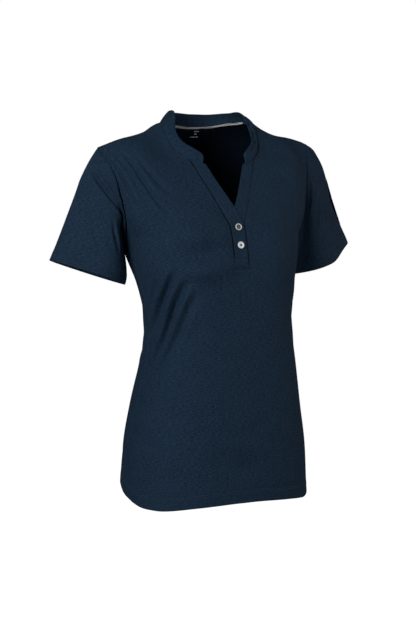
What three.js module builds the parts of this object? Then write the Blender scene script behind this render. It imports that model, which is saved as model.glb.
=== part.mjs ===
// A women's short-sleeve polo shirt with a band collar and an open placket, standing as if worn.
//
// Millimetres, +Z up, the front of the shirt faces -Y and the wearer's left is +X. The origin is
// midway between the two neck points, at the height of the top of the shoulders. Every piece of cloth
// is a grid of points on the outside of the garment, given a thickness inwards.
import * as THREE from 'three';
import { mergeVertices } from 'three/addons/utils/BufferGeometryUtils.js';

// ---------------------------------------------------------------- driving dimensions

const JERSEY = 1.4;            // wall of the body and the sleeves
const DOUBLED = 1.8;           // wall of the collar band and the placket, two layers pressed flat
const SEAM_GAP = 0.4;          // clearance between two pieces along a seam
const WELD = 0.0001;           // corners nearer than this are one corner

const UNDERARM_Z = -188;       // height where the side seam meets the armhole
const BOX_BOTTOM_Z = -235;     // lower end of the placket
const STRIP_TOP_Z = -67;       // upper end of the placket seam, just under the collar band
const OVER_STRIP_LAP = 1;      // how far the over strip reaches past its seam onto the front
const OVER_STRIP_OUTWARD = DOUBLED + SEAM_GAP;   // how far the over strip's face stands off the front's

// The shoulder seam, from the neck point to the tip of the shoulder.
const NECK_POINT = { x: 85, y: -5, z: -5 };
const SHOULDER_TIP = { x: 198, y: 4, z: -46 };
const SHOULDER_DIP = [
  { x: 104, y: -3.5, z: -17 },
  { x: 127, y: -1.7, z: -25.5 },
  { x: 160, y: 1, z: -33.5 },
];

// Height of the hem: "girth" runs from 0 at the middle of a panel to 1 at the side seam.
const FRONT_HEM = [
  { girth: 0.00, z: -618 },
  { girth: 0.30, z: -621 },
  { girth: 0.55, z: -627 },
  { girth: 0.66, z: -626 },
  { girth: 0.78, z: -621 },
  { girth: 0.90, z: -611 },
  { girth: 1.00, z: -602 },
];
const BACK_HEM = [
  { girth: 0.00, z: -628 },
  { girth: 0.60, z: -622 },
  { girth: 0.85, z: -609 },
  { girth: 1.00, z: -602 },
];

// Level rings of the body: half the width, the y of the side seam and of the centre back, and how
// square the front and back halves are (2 is an ellipse).
const BODY_RINGS = [
  { z: -188, halfWidth: 155, side: -12, back: 78, frontSquare: 2.5, backSquare: 2.9 },
  { z: -235, halfWidth: 145, side: -22, back: 66, frontSquare: 2.5, backSquare: 2.5 },
  { z: -285, halfWidth: 134, side: -32, back: 53, frontSquare: 2.4, backSquare: 2.2 },
  { z: -340, halfWidth: 128, side: -40, back: 46, frontSquare: 2.3, backSquare: 2.2 },
  { z: -400, halfWidth: 136, side: -38, back: 54, frontSquare: 2.3, backSquare: 2.2 },
  { z: -470, halfWidth: 147, side: -33, back: 69, frontSquare: 2.3, backSquare: 2.2 },
  { z: -540, halfWidth: 159, side: -27, back: 82, frontSquare: 2.3, backSquare: 2.2 },
  { z: -630, halfWidth: 165, side: -24, back: 87, frontSquare: 2.3, backSquare: 2.2 },
];

// The centre front line, from the collar ends down to the hem.
const CENTRE_FRONT = [
  { z: -60, y: -52 },
  { z: -75, y: -59 },
  { z: -100, y: -70 },
  { z: -131, y: -85 },
  { z: -160, y: -95 },
  { z: -188, y: -104 },
  { z: -235, y: -114 },
  { z: -300, y: -122 },
  { z: -380, y: -126 },
  { z: -500, y: -130 },
  { z: -640, y: -133 },
];

// The seam that edges the front panel's opening: the placket seam, then the collar seam.
const BOX_HALF_WIDTH = 12;
const OPENING_SEAM = [
  { x: 13, y: -99.5, z: -172 },
  { x: 18, y: -94, z: -160 },
  { x: 31, y: -83, z: -131 },
  { x: 45, y: -68, z: -100 },
  { x: 61, y: -50, z: -66 },
  { x: 72, y: -42, z: -57 },
  { x: 81, y: -32, z: -46 },
  { x: 86, y: -19, z: -27 },
  NECK_POINT,
];

const FRONT_ARMHOLE = [
  { x: 163, y: -26, z: -165 },
  { x: 172, y: -30, z: -132 },
  { x: 184, y: -22, z: -83 },
  SHOULDER_TIP,
];
const BACK_ARMHOLE = [
  { x: 162, y: 18, z: -172 },
  { x: 172, y: 40, z: -132 },
  { x: 186, y: 38, z: -83 },
  SHOULDER_TIP,
];

const BACK_NECK = [
  { x: 0, y: 66, z: -17 },
  { x: 36, y: 58, z: -14 },
  { x: 68, y: 32, z: -7 },
  NECK_POINT,
];

// Free inner edge of the placket strips, from the collar end down. "lap" is positive on the strip's
// own side of the centre front and negative past it, where the two strips cross over.
const STRIP_EDGE = [
  { z: -74, lap: 35.5 },
  { z: -100, lap: 23 },
  { z: -131, lap: 7 },
  { z: -143, lap: 0 },
  { z: -156, lap: -7 },
  { z: -170, lap: -11 },
  { z: -235, lap: -11.4 },
];

// The collar band from the centre back (turn 0) to its front end (turn 1): lower edge and top edge.
const COLLAR = [
  { turn: 0.00, x: 0, y: 66, z: -17, topX: 0, topY: 60, topZ: 6 },
  { turn: 0.18, x: 36, y: 58, z: -14, topX: 33, topY: 53, topZ: 8 },
  { turn: 0.37, x: 68, y: 32, z: -7, topX: 59, topY: 31, topZ: 11 },
  { turn: 0.56, x: 85, y: -5, z: -4, topX: 68, topY: -4, topZ: 11 },
  { turn: 0.68, x: 86, y: -19, z: -27, topX: 70, topY: -21, topZ: -20 },
  { turn: 0.78, x: 81, y: -32, z: -46, topX: 65, topY: -36, topZ: -37 },
  { turn: 0.86, x: 72, y: -42, z: -57, topX: 53, topY: -47, topZ: -47 },
  { turn: 0.93, x: 61, y: -50, z: -66, topX: 40, topY: -54, topZ: -57 },
  { turn: 1.00, x: 43, y: -58, z: -71, topX: 36, topY: -56.5, topZ: -64 },
];

// Hems of the sleeves: the corner away from the body, the corner beside it, and how far the front
// of the hem lies from the line between them. The wearer's right sleeve is mirrored afterwards.
const CUFFS = {
  right: {
    outer: { x: 281, y: 10, z: -225 },
    inner: { x: 156, y: -14, z: -266 },
    front: { x: -4, y: -31, z: -2 },
  },
  left: {
    outer: { x: 283, y: 16, z: -207 },
    inner: { x: 158, y: -6, z: -260 },
    front: { x: 6, y: -38, z: -12 },
  },
};

// The largest folds. Each is a trough between two places on the body, given by height and girth:
// 0 at the centre front, 1 at the side seam, 2 at the centre back, negative on the wearer's right.
// Its edges lie "reach" from its middle.
const FOLDS = [
  { girth: -0.80, z: -248, toGirth: -1.04, toZ: -300, reach: 12, depth: 3.5 },
  { girth: -0.66, z: -262, toGirth: -1.00, toZ: -345, reach: 15, depth: 4.5 },
  { girth: -0.52, z: -268, toGirth: -0.90, toZ: -385, reach: 15, depth: 4.5 },
  { girth: -0.62, z: -80, toGirth: -0.36, toZ: -150, reach: 14, depth: 3 },
  { girth: 0.70, z: -255, toGirth: 1.02, toZ: -330, reach: 16, depth: 3.5 },
  { girth: 0.55, z: -285, toGirth: 0.88, toZ: -372, reach: 15, depth: 3 },
  { girth: -1.45, z: -262, toGirth: -1.08, toZ: -345, reach: 17, depth: 4 },
  { girth: -1.70, z: -300, toGirth: -1.15, toZ: -395, reach: 17, depth: 4 },
  { girth: 1.50, z: -270, toGirth: 1.07, toZ: -350, reach: 17, depth: 4 },
  { girth: 1.72, z: -318, toGirth: 1.20, toZ: -392, reach: 16, depth: 3.5 },
];

// Buttons, sewn to the under strip and standing on the over strip.
const BUTTON = { radius: 5.8, thickness: 2.6, rim: 1.5, dish: 0.7, heights: [-175, -203.5] };
const BUTTON_EDGE = { bevel: 0.8, round: 0.6 };

// The tape sewn over the back neck seam, inside the band. "reach" is how far round it goes, as a
// share of the way to the collar's front end, and "outward" how far it lies off the band's outside.
const TAPE = { thickness: 1, reach: 0.52, rises: [-0.05, 0.15], outward: -DOUBLED - 0.5 };

// How finely the cloth is cut into facets.
const ROWS_HEM_TO_BOX = 15;
const ROWS_BOX_TO_UNDERARM = 3;
const ROWS_ARMHOLE = 12;
const COLUMNS_HALF_FRONT = 12;
const COLUMNS_HALF_BACK_NECK = 6;
const COLUMNS_HALF_SHOULDER = 6;
const ROWS_SLEEVE = 8;
const ROWS_STRIP = 14;
const COLUMNS_STRIP = 3;
const STEPS_HALF_COLLAR = 18;
const STEPS_HALF_TAPE = 14;
const BUTTON_SIDES = 24;

// ---------------------------------------------------------------- curves through the tables

// The smooth value of every column of a table at a place along its ruling column.
function readTable(rows, ruler, at) {
  const rising = rows[rows.length - 1][ruler] > rows[0][ruler];
  let k = 0;
  while (k < rows.length - 2 && (rising ? at > rows[k + 1][ruler] : at < rows[k + 1][ruler])) k += 1;
  const [a, b] = [rows[k], rows[k + 1]];
  const [before, after] = [rows[Math.max(k - 1, 0)], rows[Math.min(k + 2, rows.length - 1)]];
  const span = b[ruler] - a[ruler];
  const u = THREE.MathUtils.clamp((at - a[ruler]) / span, 0, 1);
  const value = {};
  for (const key of Object.keys(a)) {
    const slopeA = ((b[key] - before[key]) / (b[ruler] - before[ruler])) * span;
    const slopeB = ((after[key] - a[key]) / (after[ruler] - a[ruler])) * span;
    value[key] = hermite(a[key], slopeA, b[key], slopeB, u);
  }
  return value;
}

function hermite(from, slopeFrom, to, slopeTo, u) {
  const u2 = u * u;
  const u3 = u2 * u;
  return from * (2 * u3 - 3 * u2 + 1) + slopeFrom * (u3 - 2 * u2 + u)
    + to * (3 * u2 - 2 * u3) + slopeTo * (u3 - u2);
}

const asVector = ({ x, y, z }) => new THREE.Vector3(x, y, z);
const mirrorX = (point) => new THREE.Vector3(-point.x, point.y, point.z);

// How far step number "index" lies along "count" equal steps.
const portion = (index, count) => index / count;

// A smooth curve through the points of a table, read by the share of its length.
function seamCurve(rows) {
  const curve = new THREE.CatmullRomCurve3(rows.map(asVector), false, 'centripetal');
  return (share) => curve.getPointAt(THREE.MathUtils.clamp(share, 0, 1));
}

// A place on the smooth bridge between two points, leaving and arriving in these directions.
function bridge(from, leave, to, arrive, t) {
  const length = from.distanceTo(to);
  const slopeFrom = leave.clone().setLength(length);
  const slopeTo = arrive.clone().setLength(length);
  const point = new THREE.Vector3();
  for (const axis of ['x', 'y', 'z']) {
    point[axis] = hermite(from[axis], slopeFrom[axis], to[axis], slopeTo[axis], t);
  }
  return point;
}

const HALVING_END = 1e-5;      // a search by halving ends when its span is this short
const SEAM_STEP = 0.02;        // share of a seam over which its direction is taken

const backNeck = seamCurve(BACK_NECK);
const shoulderSeam = seamCurve([NECK_POINT, ...SHOULDER_DIP, SHOULDER_TIP]);

// Fades from 1 to 0 as u goes from 0 to 1, level at both ends.
const fade = (u) => (1 - u) * (1 - u) * (1 + 2 * u);

// ---------------------------------------------------------------- form of the body

// Soft fullness over the bust, which the garment gets from its side seams.
const FULLNESS = { x: 78, z: -212, wide: 46, high: 52, lift: 11 };

function fullnessAt(x, z) {
  const across = (Math.abs(x) - FULLNESS.x) / FULLNESS.wide;
  const down = (z - FULLNESS.z) / FULLNESS.high;
  return FULLNESS.lift * Math.exp(-across * across - down * down);
}

// A point of the wearer's left half on the level ring at height z; angle 0 is the centre line and
// 1 the side seam.
function ringPoint(face, angle, z) {
  const ring = readTable(BODY_RINGS, 'z', z);
  const centre = face === 'front' ? readTable(CENTRE_FRONT, 'z', z).y : ring.back;
  const power = 2 / (face === 'front' ? ring.frontSquare : ring.backSquare);
  const turn = (angle * Math.PI) / 2;
  const x = ring.halfWidth * Math.sin(turn) ** power;
  const reach = centre - ring.side - (face === 'front' ? fullnessAt(x, z) : 0);
  return new THREE.Vector3(x, ring.side + reach * Math.max(Math.cos(turn), 0) ** power, z);
}

// The angle at which a ring is this far from the centre line.
function angleAt(face, x, z) {
  const ring = readTable(BODY_RINGS, 'z', z);
  const power = 2 / (face === 'front' ? ring.frontSquare : ring.backSquare);
  return Math.asin((x / ring.halfWidth) ** (1 / power)) / (Math.PI / 2);
}

const OPENING_FOOT = ringPoint('front', angleAt('front', BOX_HALF_WIDTH, UNDERARM_Z), UNDERARM_Z);
const UNDERARM_POINT = ringPoint('front', 1, UNDERARM_Z);

const openingSeam = seamCurve([OPENING_FOOT, ...OPENING_SEAM]);
const frontArmhole = seamCurve([UNDERARM_POINT, ...FRONT_ARMHOLE]);
const backArmhole = seamCurve([UNDERARM_POINT, ...BACK_ARMHOLE]);

const SLOPE_STEP = 8;          // height over which the slope of the panel below is taken

// A column of cloth that leaves the underarm ring in line with the panel below it and arrives at
// the top edge in the direction "arrival".
function columnPoint(face, angle, top, arrival, t) {
  const foot = ringPoint(face, angle, UNDERARM_Z);
  const below = ringPoint(face, angle, UNDERARM_Z - SLOPE_STEP);
  return bridge(foot, foot.clone().sub(below), top, arrival, t);
}

// How far the corrections at the edges reach into a panel, as a share of its half width.
const EDGE_REACH = 0.6;

// The yoke of a panel above the underarm: columns, corrected so that its inner and outer edges
// run exactly along their seams. s goes from the inner edge to the armhole, t from the ring up.
function yokePoint(face, innerAngle, inner, outer, topEdge, arrival, s, t) {
  const column = (share) => columnPoint(
    face, innerAngle + (1 - innerAngle) * share, topEdge(share), arrival(share), t);
  const point = column(s);
  point.addScaledVector(inner(t).sub(column(0)), fade(Math.min(s / EDGE_REACH, 1)));
  point.addScaledVector(outer(t).sub(column(1)), fade(Math.min((1 - s) / EDGE_REACH, 1)));
  return point;
}

// The cloth runs over the shoulder seam in this direction, from front to back.
const OVER_SHOULDER = new THREE.Vector3(0.05, 0.97, 0.22);

function frontYoke(s, t) {
  const arrival = () => OVER_SHOULDER;
  const innerAngle = angleAt('front', BOX_HALF_WIDTH, UNDERARM_Z);
  return yokePoint('front', innerAngle, openingSeam, frontArmhole, shoulderSeam, arrival, s, t);
}

// The top edge of the back runs along the neck for the first share and the shoulder for the rest.
const NECK_SHARE = 0.42;

function backTopEdge(share) {
  if (share <= NECK_SHARE) return backNeck(share / NECK_SHARE);
  return shoulderSeam((share - NECK_SHARE) / (1 - NECK_SHARE));
}

const INTO_NECK = new THREE.Vector3(0, -0.35, 0.94);

function centreBack(t) {
  return columnPoint('back', 0, backNeck(0), INTO_NECK, t);
}

function backYoke(s, t) {
  const ontoShoulder = OVER_SHOULDER.clone().negate();
  const arrival = (share) => INTO_NECK.clone().lerp(ontoShoulder, Math.min(share / NECK_SHARE, 1));
  return yokePoint('back', 0, centreBack, backArmhole, backTopEdge, arrival, s, t);
}

// ---------------------------------------------------------------- folds

const HALF_GIRTH = 200;        // a half panel's width along the cloth, by which folds are placed

// How deep the folds press the cloth in at a place on the body.
function foldDepth(girth, z) {
  let depth = 0;
  for (const fold of FOLDS) {
    const from = new THREE.Vector2(fold.girth * HALF_GIRTH, fold.z);
    const along = new THREE.Vector2(fold.toGirth * HALF_GIRTH, fold.toZ).sub(from);
    const place = new THREE.Vector2(girth * HALF_GIRTH, z).sub(from);
    const share = place.dot(along) / along.lengthSq();
    const off = Math.abs(place.cross(along)) / along.length() / fold.reach;
    if (share > 0 && share < 1 && off < 1) depth += fold.depth * Math.sin(Math.PI * share) * fade(off);
  }
  return depth;
}

// Presses the folds in, level with the ground and square to the body's ring.
function folded(point, girth) {
  const z = Math.min(point.z, UNDERARM_Z);
  const ring = readTable(BODY_RINGS, 'z', z);
  const face = Math.abs(girth) < 1 ? readTable(CENTRE_FRONT, 'z', z).y : ring.back;
  const outwardX = point.x / ring.halfWidth ** 2;
  const outwardY = (point.y - ring.side) / (face - ring.side) ** 2;
  const outward = new THREE.Vector3(outwardX, outwardY, 0).normalize();
  return point.clone().addScaledVector(outward, -foldDepth(girth, point.z));
}

// ---------------------------------------------------------------- cloth with a thickness

const ON_SEAM = 0.1;           // a point this near the shoulder seam lies on it

// The share of the shoulder seam's length at which it is this far from the centre, by halving.
function shoulderShare(x) {
  let [low, high] = [0, 1];
  while (high - low > HALVING_END) {
    const middle = (low + high) / 2;
    if (shoulderSeam(middle).x < x) low = middle;
    else high = middle;
  }
  return (low + high) / 2;
}

// The panels lean the same way where they meet along the shoulder seam; elsewhere this is null.
function shoulderNormal(point) {
  const onLeft = new THREE.Vector3(Math.abs(point.x), point.y, point.z);
  const place = shoulderShare(onLeft.x);
  if (shoulderSeam(place).distanceTo(onLeft) > ON_SEAM) return null;
  const tangent = shoulderSeam(place + SEAM_STEP).sub(shoulderSeam(place - SEAM_STEP));
  const normal = tangent.cross(OVER_SHOULDER).normalize();
  return point.x < 0 ? mirrorX(normal) : normal;
}

// A grid of points and the quads between them, as one closed wall. The points are the outer face;
// edges that belong to one quad are pulled back by half the seam gap and closed with a rim.
function clothWall(points, quads, thickness, outward) {
  const normals = points.map(() => new THREE.Vector3());
  const edges = new Map();
  for (const quad of quads) {
    const [a, b, c, d] = quad.map((k) => points[k]);
    const normal = c.clone().sub(a).cross(d.clone().sub(b));
    quad.forEach((k) => normals[k].add(normal));
    quad.forEach((k, side) => {
      const next = quad[(side + 1) % 4];
      const twin = `${next},${k}`;
      if (edges.has(twin)) edges.delete(twin);
      else edges.set(`${k},${next}`, { from: k, to: next, normal: normal.clone().normalize() });
    });
  }
  normals.forEach((normal, k) => normal.copy(shoulderNormal(points[k]) ?? normal).normalize());
  const outer = points.map((point) => point.clone());
  for (const { from, to, normal } of edges.values()) {
    const inward = normal.clone().cross(points[to].clone().sub(points[from])).normalize();
    outer[from].addScaledVector(inward, SEAM_GAP / 2);
    outer[to].addScaledVector(inward, SEAM_GAP / 2);
  }
  const top = outer.map((point, k) => point.clone().addScaledVector(normals[k], outward));
  const under = top.map((point, k) => point.clone().addScaledVector(normals[k], -thickness));
  const corners = [...top, ...under];
  const count = points.length;
  const triangles = [];
  for (const [a, b, c, d] of quads) {
    const flip = outer[a].distanceTo(outer[c]) > outer[b].distanceTo(outer[d]);
    const halves = flip ? [[a, b, d], [b, c, d]] : [[a, b, c], [a, c, d]];
    for (const [p, q, r] of halves) {
      triangles.push(p, q, r, p + count, r + count, q + count);
    }
  }
  for (const { from, to } of edges.values()) {
    triangles.push(from, from + count, to + count, from, to + count, to);
  }
  return closedGeometry(corners, triangles);
}

function closedGeometry(corners, triangles) {
  const positions = new Float32Array(triangles.length * 3);
  triangles.forEach((corner, k) => corners[corner].toArray(positions, k * 3));
  const geometry = new THREE.BufferGeometry();
  geometry.setAttribute('position', new THREE.BufferAttribute(positions, 3));
  return mergeVertices(geometry, WELD);
}

// Quads between the rows and columns of a grid, whose points are stored row by row. The grid's
// columns run to the wearer's left and its rows upwards on the front; "back" turns the quads over.
function gridQuads(rows, columns, { closed = false, turned = false, keep = () => true } = {}) {
  const quads = [];
  const last = closed ? columns : columns - 1;
  for (let r = 0; r < rows - 1; r += 1) {
    for (let c = 0; c < last; c += 1) {
      if (!keep(r, c)) continue;
      const next = (c + 1) % columns;
      const quad = [r * columns + c, r * columns + next, (r + 1) * columns + next, (r + 1) * columns + c];
      quads.push(turned ? quad.reverse() : quad);
    }
  }
  return quads;
}

// Drops the points that no quad uses.
function compact(points, quads) {
  const used = [...new Set(quads.flat())].sort((a, b) => a - b);
  const place = new Map(used.map((k, index) => [k, index]));
  return [used.map((k) => points[k]), quads.map((quad) => quad.map((k) => place.get(k)))];
}

// ---------------------------------------------------------------- panels

// Heights of the rows of a panel below the underarm, at one place round its girth.
function skirtHeights(hem, girth) {
  const hemZ = readTable(hem, 'girth', Math.min(girth, 1)).z;
  const heights = [];
  for (let r = 0; r <= ROWS_HEM_TO_BOX; r += 1) {
    heights.push(THREE.MathUtils.lerp(hemZ, BOX_BOTTOM_Z, portion(r, ROWS_HEM_TO_BOX)));
  }
  for (let r = 1; r <= ROWS_BOX_TO_UNDERARM; r += 1) {
    heights.push(THREE.MathUtils.lerp(BOX_BOTTOM_Z, UNDERARM_Z, portion(r, ROWS_BOX_TO_UNDERARM)));
  }
  return heights;
}

// One half column of the front, from the hem up to the shoulder seam; s is 0 at the placket seam.
function frontColumn(s) {
  const column = [];
  const girthAbove = THREE.MathUtils.lerp(angleAt('front', BOX_HALF_WIDTH, UNDERARM_Z), 1, s);
  for (const z of skirtHeights(FRONT_HEM, girthAbove)) {
    const girth = THREE.MathUtils.lerp(angleAt('front', BOX_HALF_WIDTH, z), 1, s);
    column.push({ point: ringPoint('front', girth, z), girth });
  }
  for (let r = 1; r <= ROWS_ARMHOLE; r += 1) {
    column.push({ point: frontYoke(s, portion(r, ROWS_ARMHOLE)), girth: girthAbove });
  }
  return column;
}

// The centre column of the front. Above the box there is no cloth, and its places there stay unused.
function centreColumn() {
  const column = skirtHeights(FRONT_HEM, 0).map((z) => ({ point: ringPoint('front', 0, z), girth: 0 }));
  while (column.length < ROWS_HEM_TO_BOX + ROWS_BOX_TO_UNDERARM + ROWS_ARMHOLE + 1) {
    column.push({ point: new THREE.Vector3(), girth: 0 });
  }
  return column;
}

const mirrorColumn = (column) => column.map(({ point, girth }) => ({ point: mirrorX(point), girth: -girth }));

// Lays columns side by side into one grid, stored row by row, with the folds pressed in.
function gridFromColumns(columns) {
  return columns[0].flatMap((_, r) => columns.map((column) => folded(column[r].point, column[r].girth)));
}

function frontGeometry() {
  const left = [];
  for (let c = 0; c <= COLUMNS_HALF_FRONT; c += 1) left.push(frontColumn(portion(c, COLUMNS_HALF_FRONT)));
  const right = left.map(mirrorColumn).reverse();
  const columns = [...right, centreColumn(), ...left];
  const middle = right.length;
  const keep = (r, c) => r < ROWS_HEM_TO_BOX || c < middle - 1 || c > middle;
  const quads = gridQuads(columns[0].length, columns.length, { keep });
  return clothWall(...compact(gridFromColumns(columns), quads), JERSEY, 0);
}

function backColumn(s) {
  const girth = 2 - s;
  const column = skirtHeights(BACK_HEM, s).map((z) => ({ point: ringPoint('back', s, z), girth }));
  for (let r = 1; r <= ROWS_ARMHOLE; r += 1) {
    column.push({ point: backYoke(s, portion(r, ROWS_ARMHOLE)), girth });
  }
  return column;
}

function backGeometry() {
  const shares = [];
  for (let c = 0; c < COLUMNS_HALF_BACK_NECK; c += 1) {
    shares.push(NECK_SHARE * portion(c, COLUMNS_HALF_BACK_NECK));
  }
  for (let c = 0; c <= COLUMNS_HALF_SHOULDER; c += 1) {
    shares.push(THREE.MathUtils.lerp(NECK_SHARE, 1, portion(c, COLUMNS_HALF_SHOULDER)));
  }
  const left = shares.map(backColumn);
  const right = left.slice(1).map(mirrorColumn).reverse();
  const columns = [...right, ...left];
  const quads = gridQuads(columns[0].length, columns.length, { turned: true });
  return clothWall(gridFromColumns(columns), quads, JERSEY, 0);
}

// ---------------------------------------------------------------- sleeves

// The armhole loop from the underarm up the front, over the tip and down the back.
function armholePoint(turn) {
  return turn <= 0.5 ? frontArmhole(turn * 2) : backArmhole(2 - turn * 2);
}

function cuffPoint(cuff, turn) {
  const angle = turn * 2 * Math.PI;
  const middle = asVector(cuff.outer).add(asVector(cuff.inner)).multiplyScalar(0.5);
  const half = asVector(cuff.outer).sub(middle);
  middle.addScaledVector(half, -Math.cos(angle));
  return middle.addScaledVector(asVector(cuff.front), Math.sin(angle));
}

// The way a sleeve falls: off the tip of the shoulder, off the underarm, and at its hem.
const OFF_SHOULDER = new THREE.Vector3(0.6, 0, -0.78);
const OFF_UNDERARM = new THREE.Vector3(0.35, 0, -0.95);
const AT_CUFF = new THREE.Vector3(0.4, 0.05, -0.92);

// Each column of a sleeve starts across the armhole seam and ends in line with the sleeve's fall.
function sleevePoint(cuff, turn, t) {
  const overTip = Math.sin(Math.PI * turn) ** 2;
  const leave = OFF_UNDERARM.clone().lerp(OFF_SHOULDER, overTip);
  return bridge(armholePoint(turn), leave, cuffPoint(cuff, turn), AT_CUFF, t);
}

function sleeveGeometry(cuff, mirrored) {
  const around = ROWS_ARMHOLE * 2;
  const points = [];
  for (let r = 0; r <= ROWS_SLEEVE; r += 1) {
    for (let c = 0; c < around; c += 1) {
      const point = sleevePoint(cuff, portion(c, around), portion(r, ROWS_SLEEVE));
      points.push(mirrored ? mirrorX(point) : point);
    }
  }
  const quads = gridQuads(ROWS_SLEEVE + 1, around, { closed: true, turned: !mirrored });
  return clothWall(points, quads, JERSEY, 0);
}

// ---------------------------------------------------------------- collar, placket and tape

const COLLAR_RISES = [0.02, 0.35, 0.7, 1];

// A place on the collar band: turn from the centre back, rise as a share of the band's height.
function collarPoint(turn, rise) {
  const row = readTable(COLLAR, 'turn', Math.abs(turn));
  const point = asVector(row).lerp(new THREE.Vector3(row.topX, row.topY, row.topZ), rise);
  return turn < 0 ? mirrorX(point) : point;
}

// A band along the neck seam, as far as "reach", between two shares of the collar's height.
function neckBand(steps, reach, rises, thickness, outward) {
  const points = [];
  for (const rise of rises) {
    for (let c = -steps; c <= steps; c += 1) points.push(collarPoint(portion(c, steps) * reach, rise));
  }
  const quads = gridQuads(rises.length, 2 * steps + 1, { turned: true });
  return clothWall(points, quads, thickness, outward);
}

// The place on the opening seam at a height, found by halving.
function openingSeamAt(z) {
  if (z <= UNDERARM_Z) return ringPoint('front', angleAt('front', BOX_HALF_WIDTH, z), z);
  let [low, high] = [0, 1];
  while (high - low > HALVING_END) {
    const middle = (low + high) / 2;
    if (openingSeam(middle).z < z) low = middle;
    else high = middle;
  }
  return openingSeam(low);
}

// The chest between the two placket seams, bridged from one to the other.
function chestPoint(x, z) {
  const seam = openingSeamAt(z);
  const centre = readTable(CENTRE_FRONT, 'z', z).y;
  const across = Math.min(Math.abs(x) / seam.x, 1) ** 2;
  return new THREE.Vector3(x, centre + (seam.y - centre) * across, z);
}

// One placket strip, from its seam to its free edge; side is +1 on the wearer's left.
function stripGeometry(side, outward, seamLap) {
  const points = [];
  for (let r = 0; r <= ROWS_STRIP; r += 1) {
    const edgeZ = THREE.MathUtils.lerp(BOX_BOTTOM_Z, STRIP_EDGE[0].z, portion(r, ROWS_STRIP));
    const seamZ = THREE.MathUtils.lerp(BOX_BOTTOM_Z, STRIP_TOP_Z, portion(r, ROWS_STRIP));
    const edgeX = readTable(STRIP_EDGE, 'z', edgeZ).lap;
    for (let c = 0; c <= COLUMNS_STRIP; c += 1) {
      const across = portion(c, COLUMNS_STRIP);
      const x = THREE.MathUtils.lerp(openingSeamAt(seamZ).x + seamLap, edgeX, across);
      points.push(chestPoint(side * x, THREE.MathUtils.lerp(seamZ, edgeZ, across)));
    }
  }
  const quads = gridQuads(ROWS_STRIP + 1, COLUMNS_STRIP + 1, { turned: side > 0 });
  return clothWall(points, quads, DOUBLED, outward);
}

// ---------------------------------------------------------------- buttons

function buttonGeometry() {
  const { radius, thickness, rim, dish } = BUTTON;
  const { bevel, round } = BUTTON_EDGE;
  const profile = [
    [0, 0],
    [radius - bevel, 0],
    [radius, bevel],
    [radius, thickness - round],
    [radius - round, thickness],
    [radius - rim, thickness],
    [radius - rim - round, thickness - dish],
    [0, thickness - dish],
  ].map(([r, h]) => new THREE.Vector2(r, h));
  return new THREE.LatheGeometry(profile, BUTTON_SIDES);
}

// Lays a button flat on the over strip at a height on the centre front.
function placeButton(mesh, z) {
  const foot = chestPoint(0, z);
  const up = chestPoint(0, z + BUTTON.radius).sub(foot);
  const out = new THREE.Vector3(1, 0, 0).cross(up).normalize();
  mesh.quaternion.setFromUnitVectors(new THREE.Vector3(0, 1, 0), out);
  mesh.position.copy(foot).addScaledVector(out, OVER_STRIP_OUTWARD + SEAM_GAP);
}

// ---------------------------------------------------------------- materials and assembly

const navyJersey = new THREE.MeshStandardMaterial({ color: 0x1d2b3b, roughness: 0.85, metalness: 0 });
const greyTape = new THREE.MeshStandardMaterial({ color: 0x96918c, roughness: 0.9, metalness: 0 });
const pearl = new THREE.MeshStandardMaterial({ color: 0xc9c6c0, roughness: 0.3, metalness: 0 });

const shirt = new THREE.Group();

function sew(name, geometry, material) {
  const mesh = new THREE.Mesh(geometry, material);
  mesh.name = name;
  shirt.add(mesh);
  return mesh;
}

sew('front', frontGeometry(), navyJersey);
sew('back', backGeometry(), navyJersey);
sew('sleeve_right', sleeveGeometry(CUFFS.right, true), navyJersey);
sew('sleeve_left', sleeveGeometry(CUFFS.left, false), navyJersey);
sew('collar_band', neckBand(STEPS_HALF_COLLAR, 1, COLLAR_RISES, DOUBLED, SEAM_GAP), navyJersey);
sew('placket_over', stripGeometry(-1, OVER_STRIP_OUTWARD, OVER_STRIP_LAP), navyJersey);
sew('placket_under', stripGeometry(1, 0, 0), navyJersey);
sew('neck_tape', neckBand(STEPS_HALF_TAPE, TAPE.reach, TAPE.rises, TAPE.thickness, TAPE.outward), greyTape);
placeButton(sew('button_upper', buttonGeometry(), pearl), BUTTON.heights[0]);
placeButton(sew('button_lower', buttonGeometry(), pearl), BUTTON.heights[1]);

export default shirt;
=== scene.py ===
# %% [markdown]
# # A polo shirt with a band collar, standing as if worn
#
# The real shirt is cut from heathered navy jersey: a front, a back and two sleeves, a doubled band
# round the neck, and a placket of two doubled strips with two buttons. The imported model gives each
# of these a plain wall at its true size. Here every one becomes what it is on the real shirt: thin
# cloth with folds, turned hems, seams, stitches and a knitted surface. Lengths in the tables are in
# millimetres, as a pattern cutter writes them, and MM turns them into Blender's metres.

import bpy
import numpy as np
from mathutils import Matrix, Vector


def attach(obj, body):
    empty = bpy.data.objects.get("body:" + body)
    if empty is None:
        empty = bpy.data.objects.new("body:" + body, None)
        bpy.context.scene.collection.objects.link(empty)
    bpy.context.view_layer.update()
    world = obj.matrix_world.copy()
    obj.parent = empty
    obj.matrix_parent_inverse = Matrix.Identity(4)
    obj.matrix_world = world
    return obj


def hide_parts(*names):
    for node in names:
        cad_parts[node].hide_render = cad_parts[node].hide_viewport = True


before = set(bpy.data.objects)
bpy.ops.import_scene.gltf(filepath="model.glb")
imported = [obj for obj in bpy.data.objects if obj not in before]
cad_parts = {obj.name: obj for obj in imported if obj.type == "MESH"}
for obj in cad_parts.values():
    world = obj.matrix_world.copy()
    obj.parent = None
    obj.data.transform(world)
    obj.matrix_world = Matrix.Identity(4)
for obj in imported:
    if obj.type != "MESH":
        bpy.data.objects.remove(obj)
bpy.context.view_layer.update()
MM = 0.001

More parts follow.
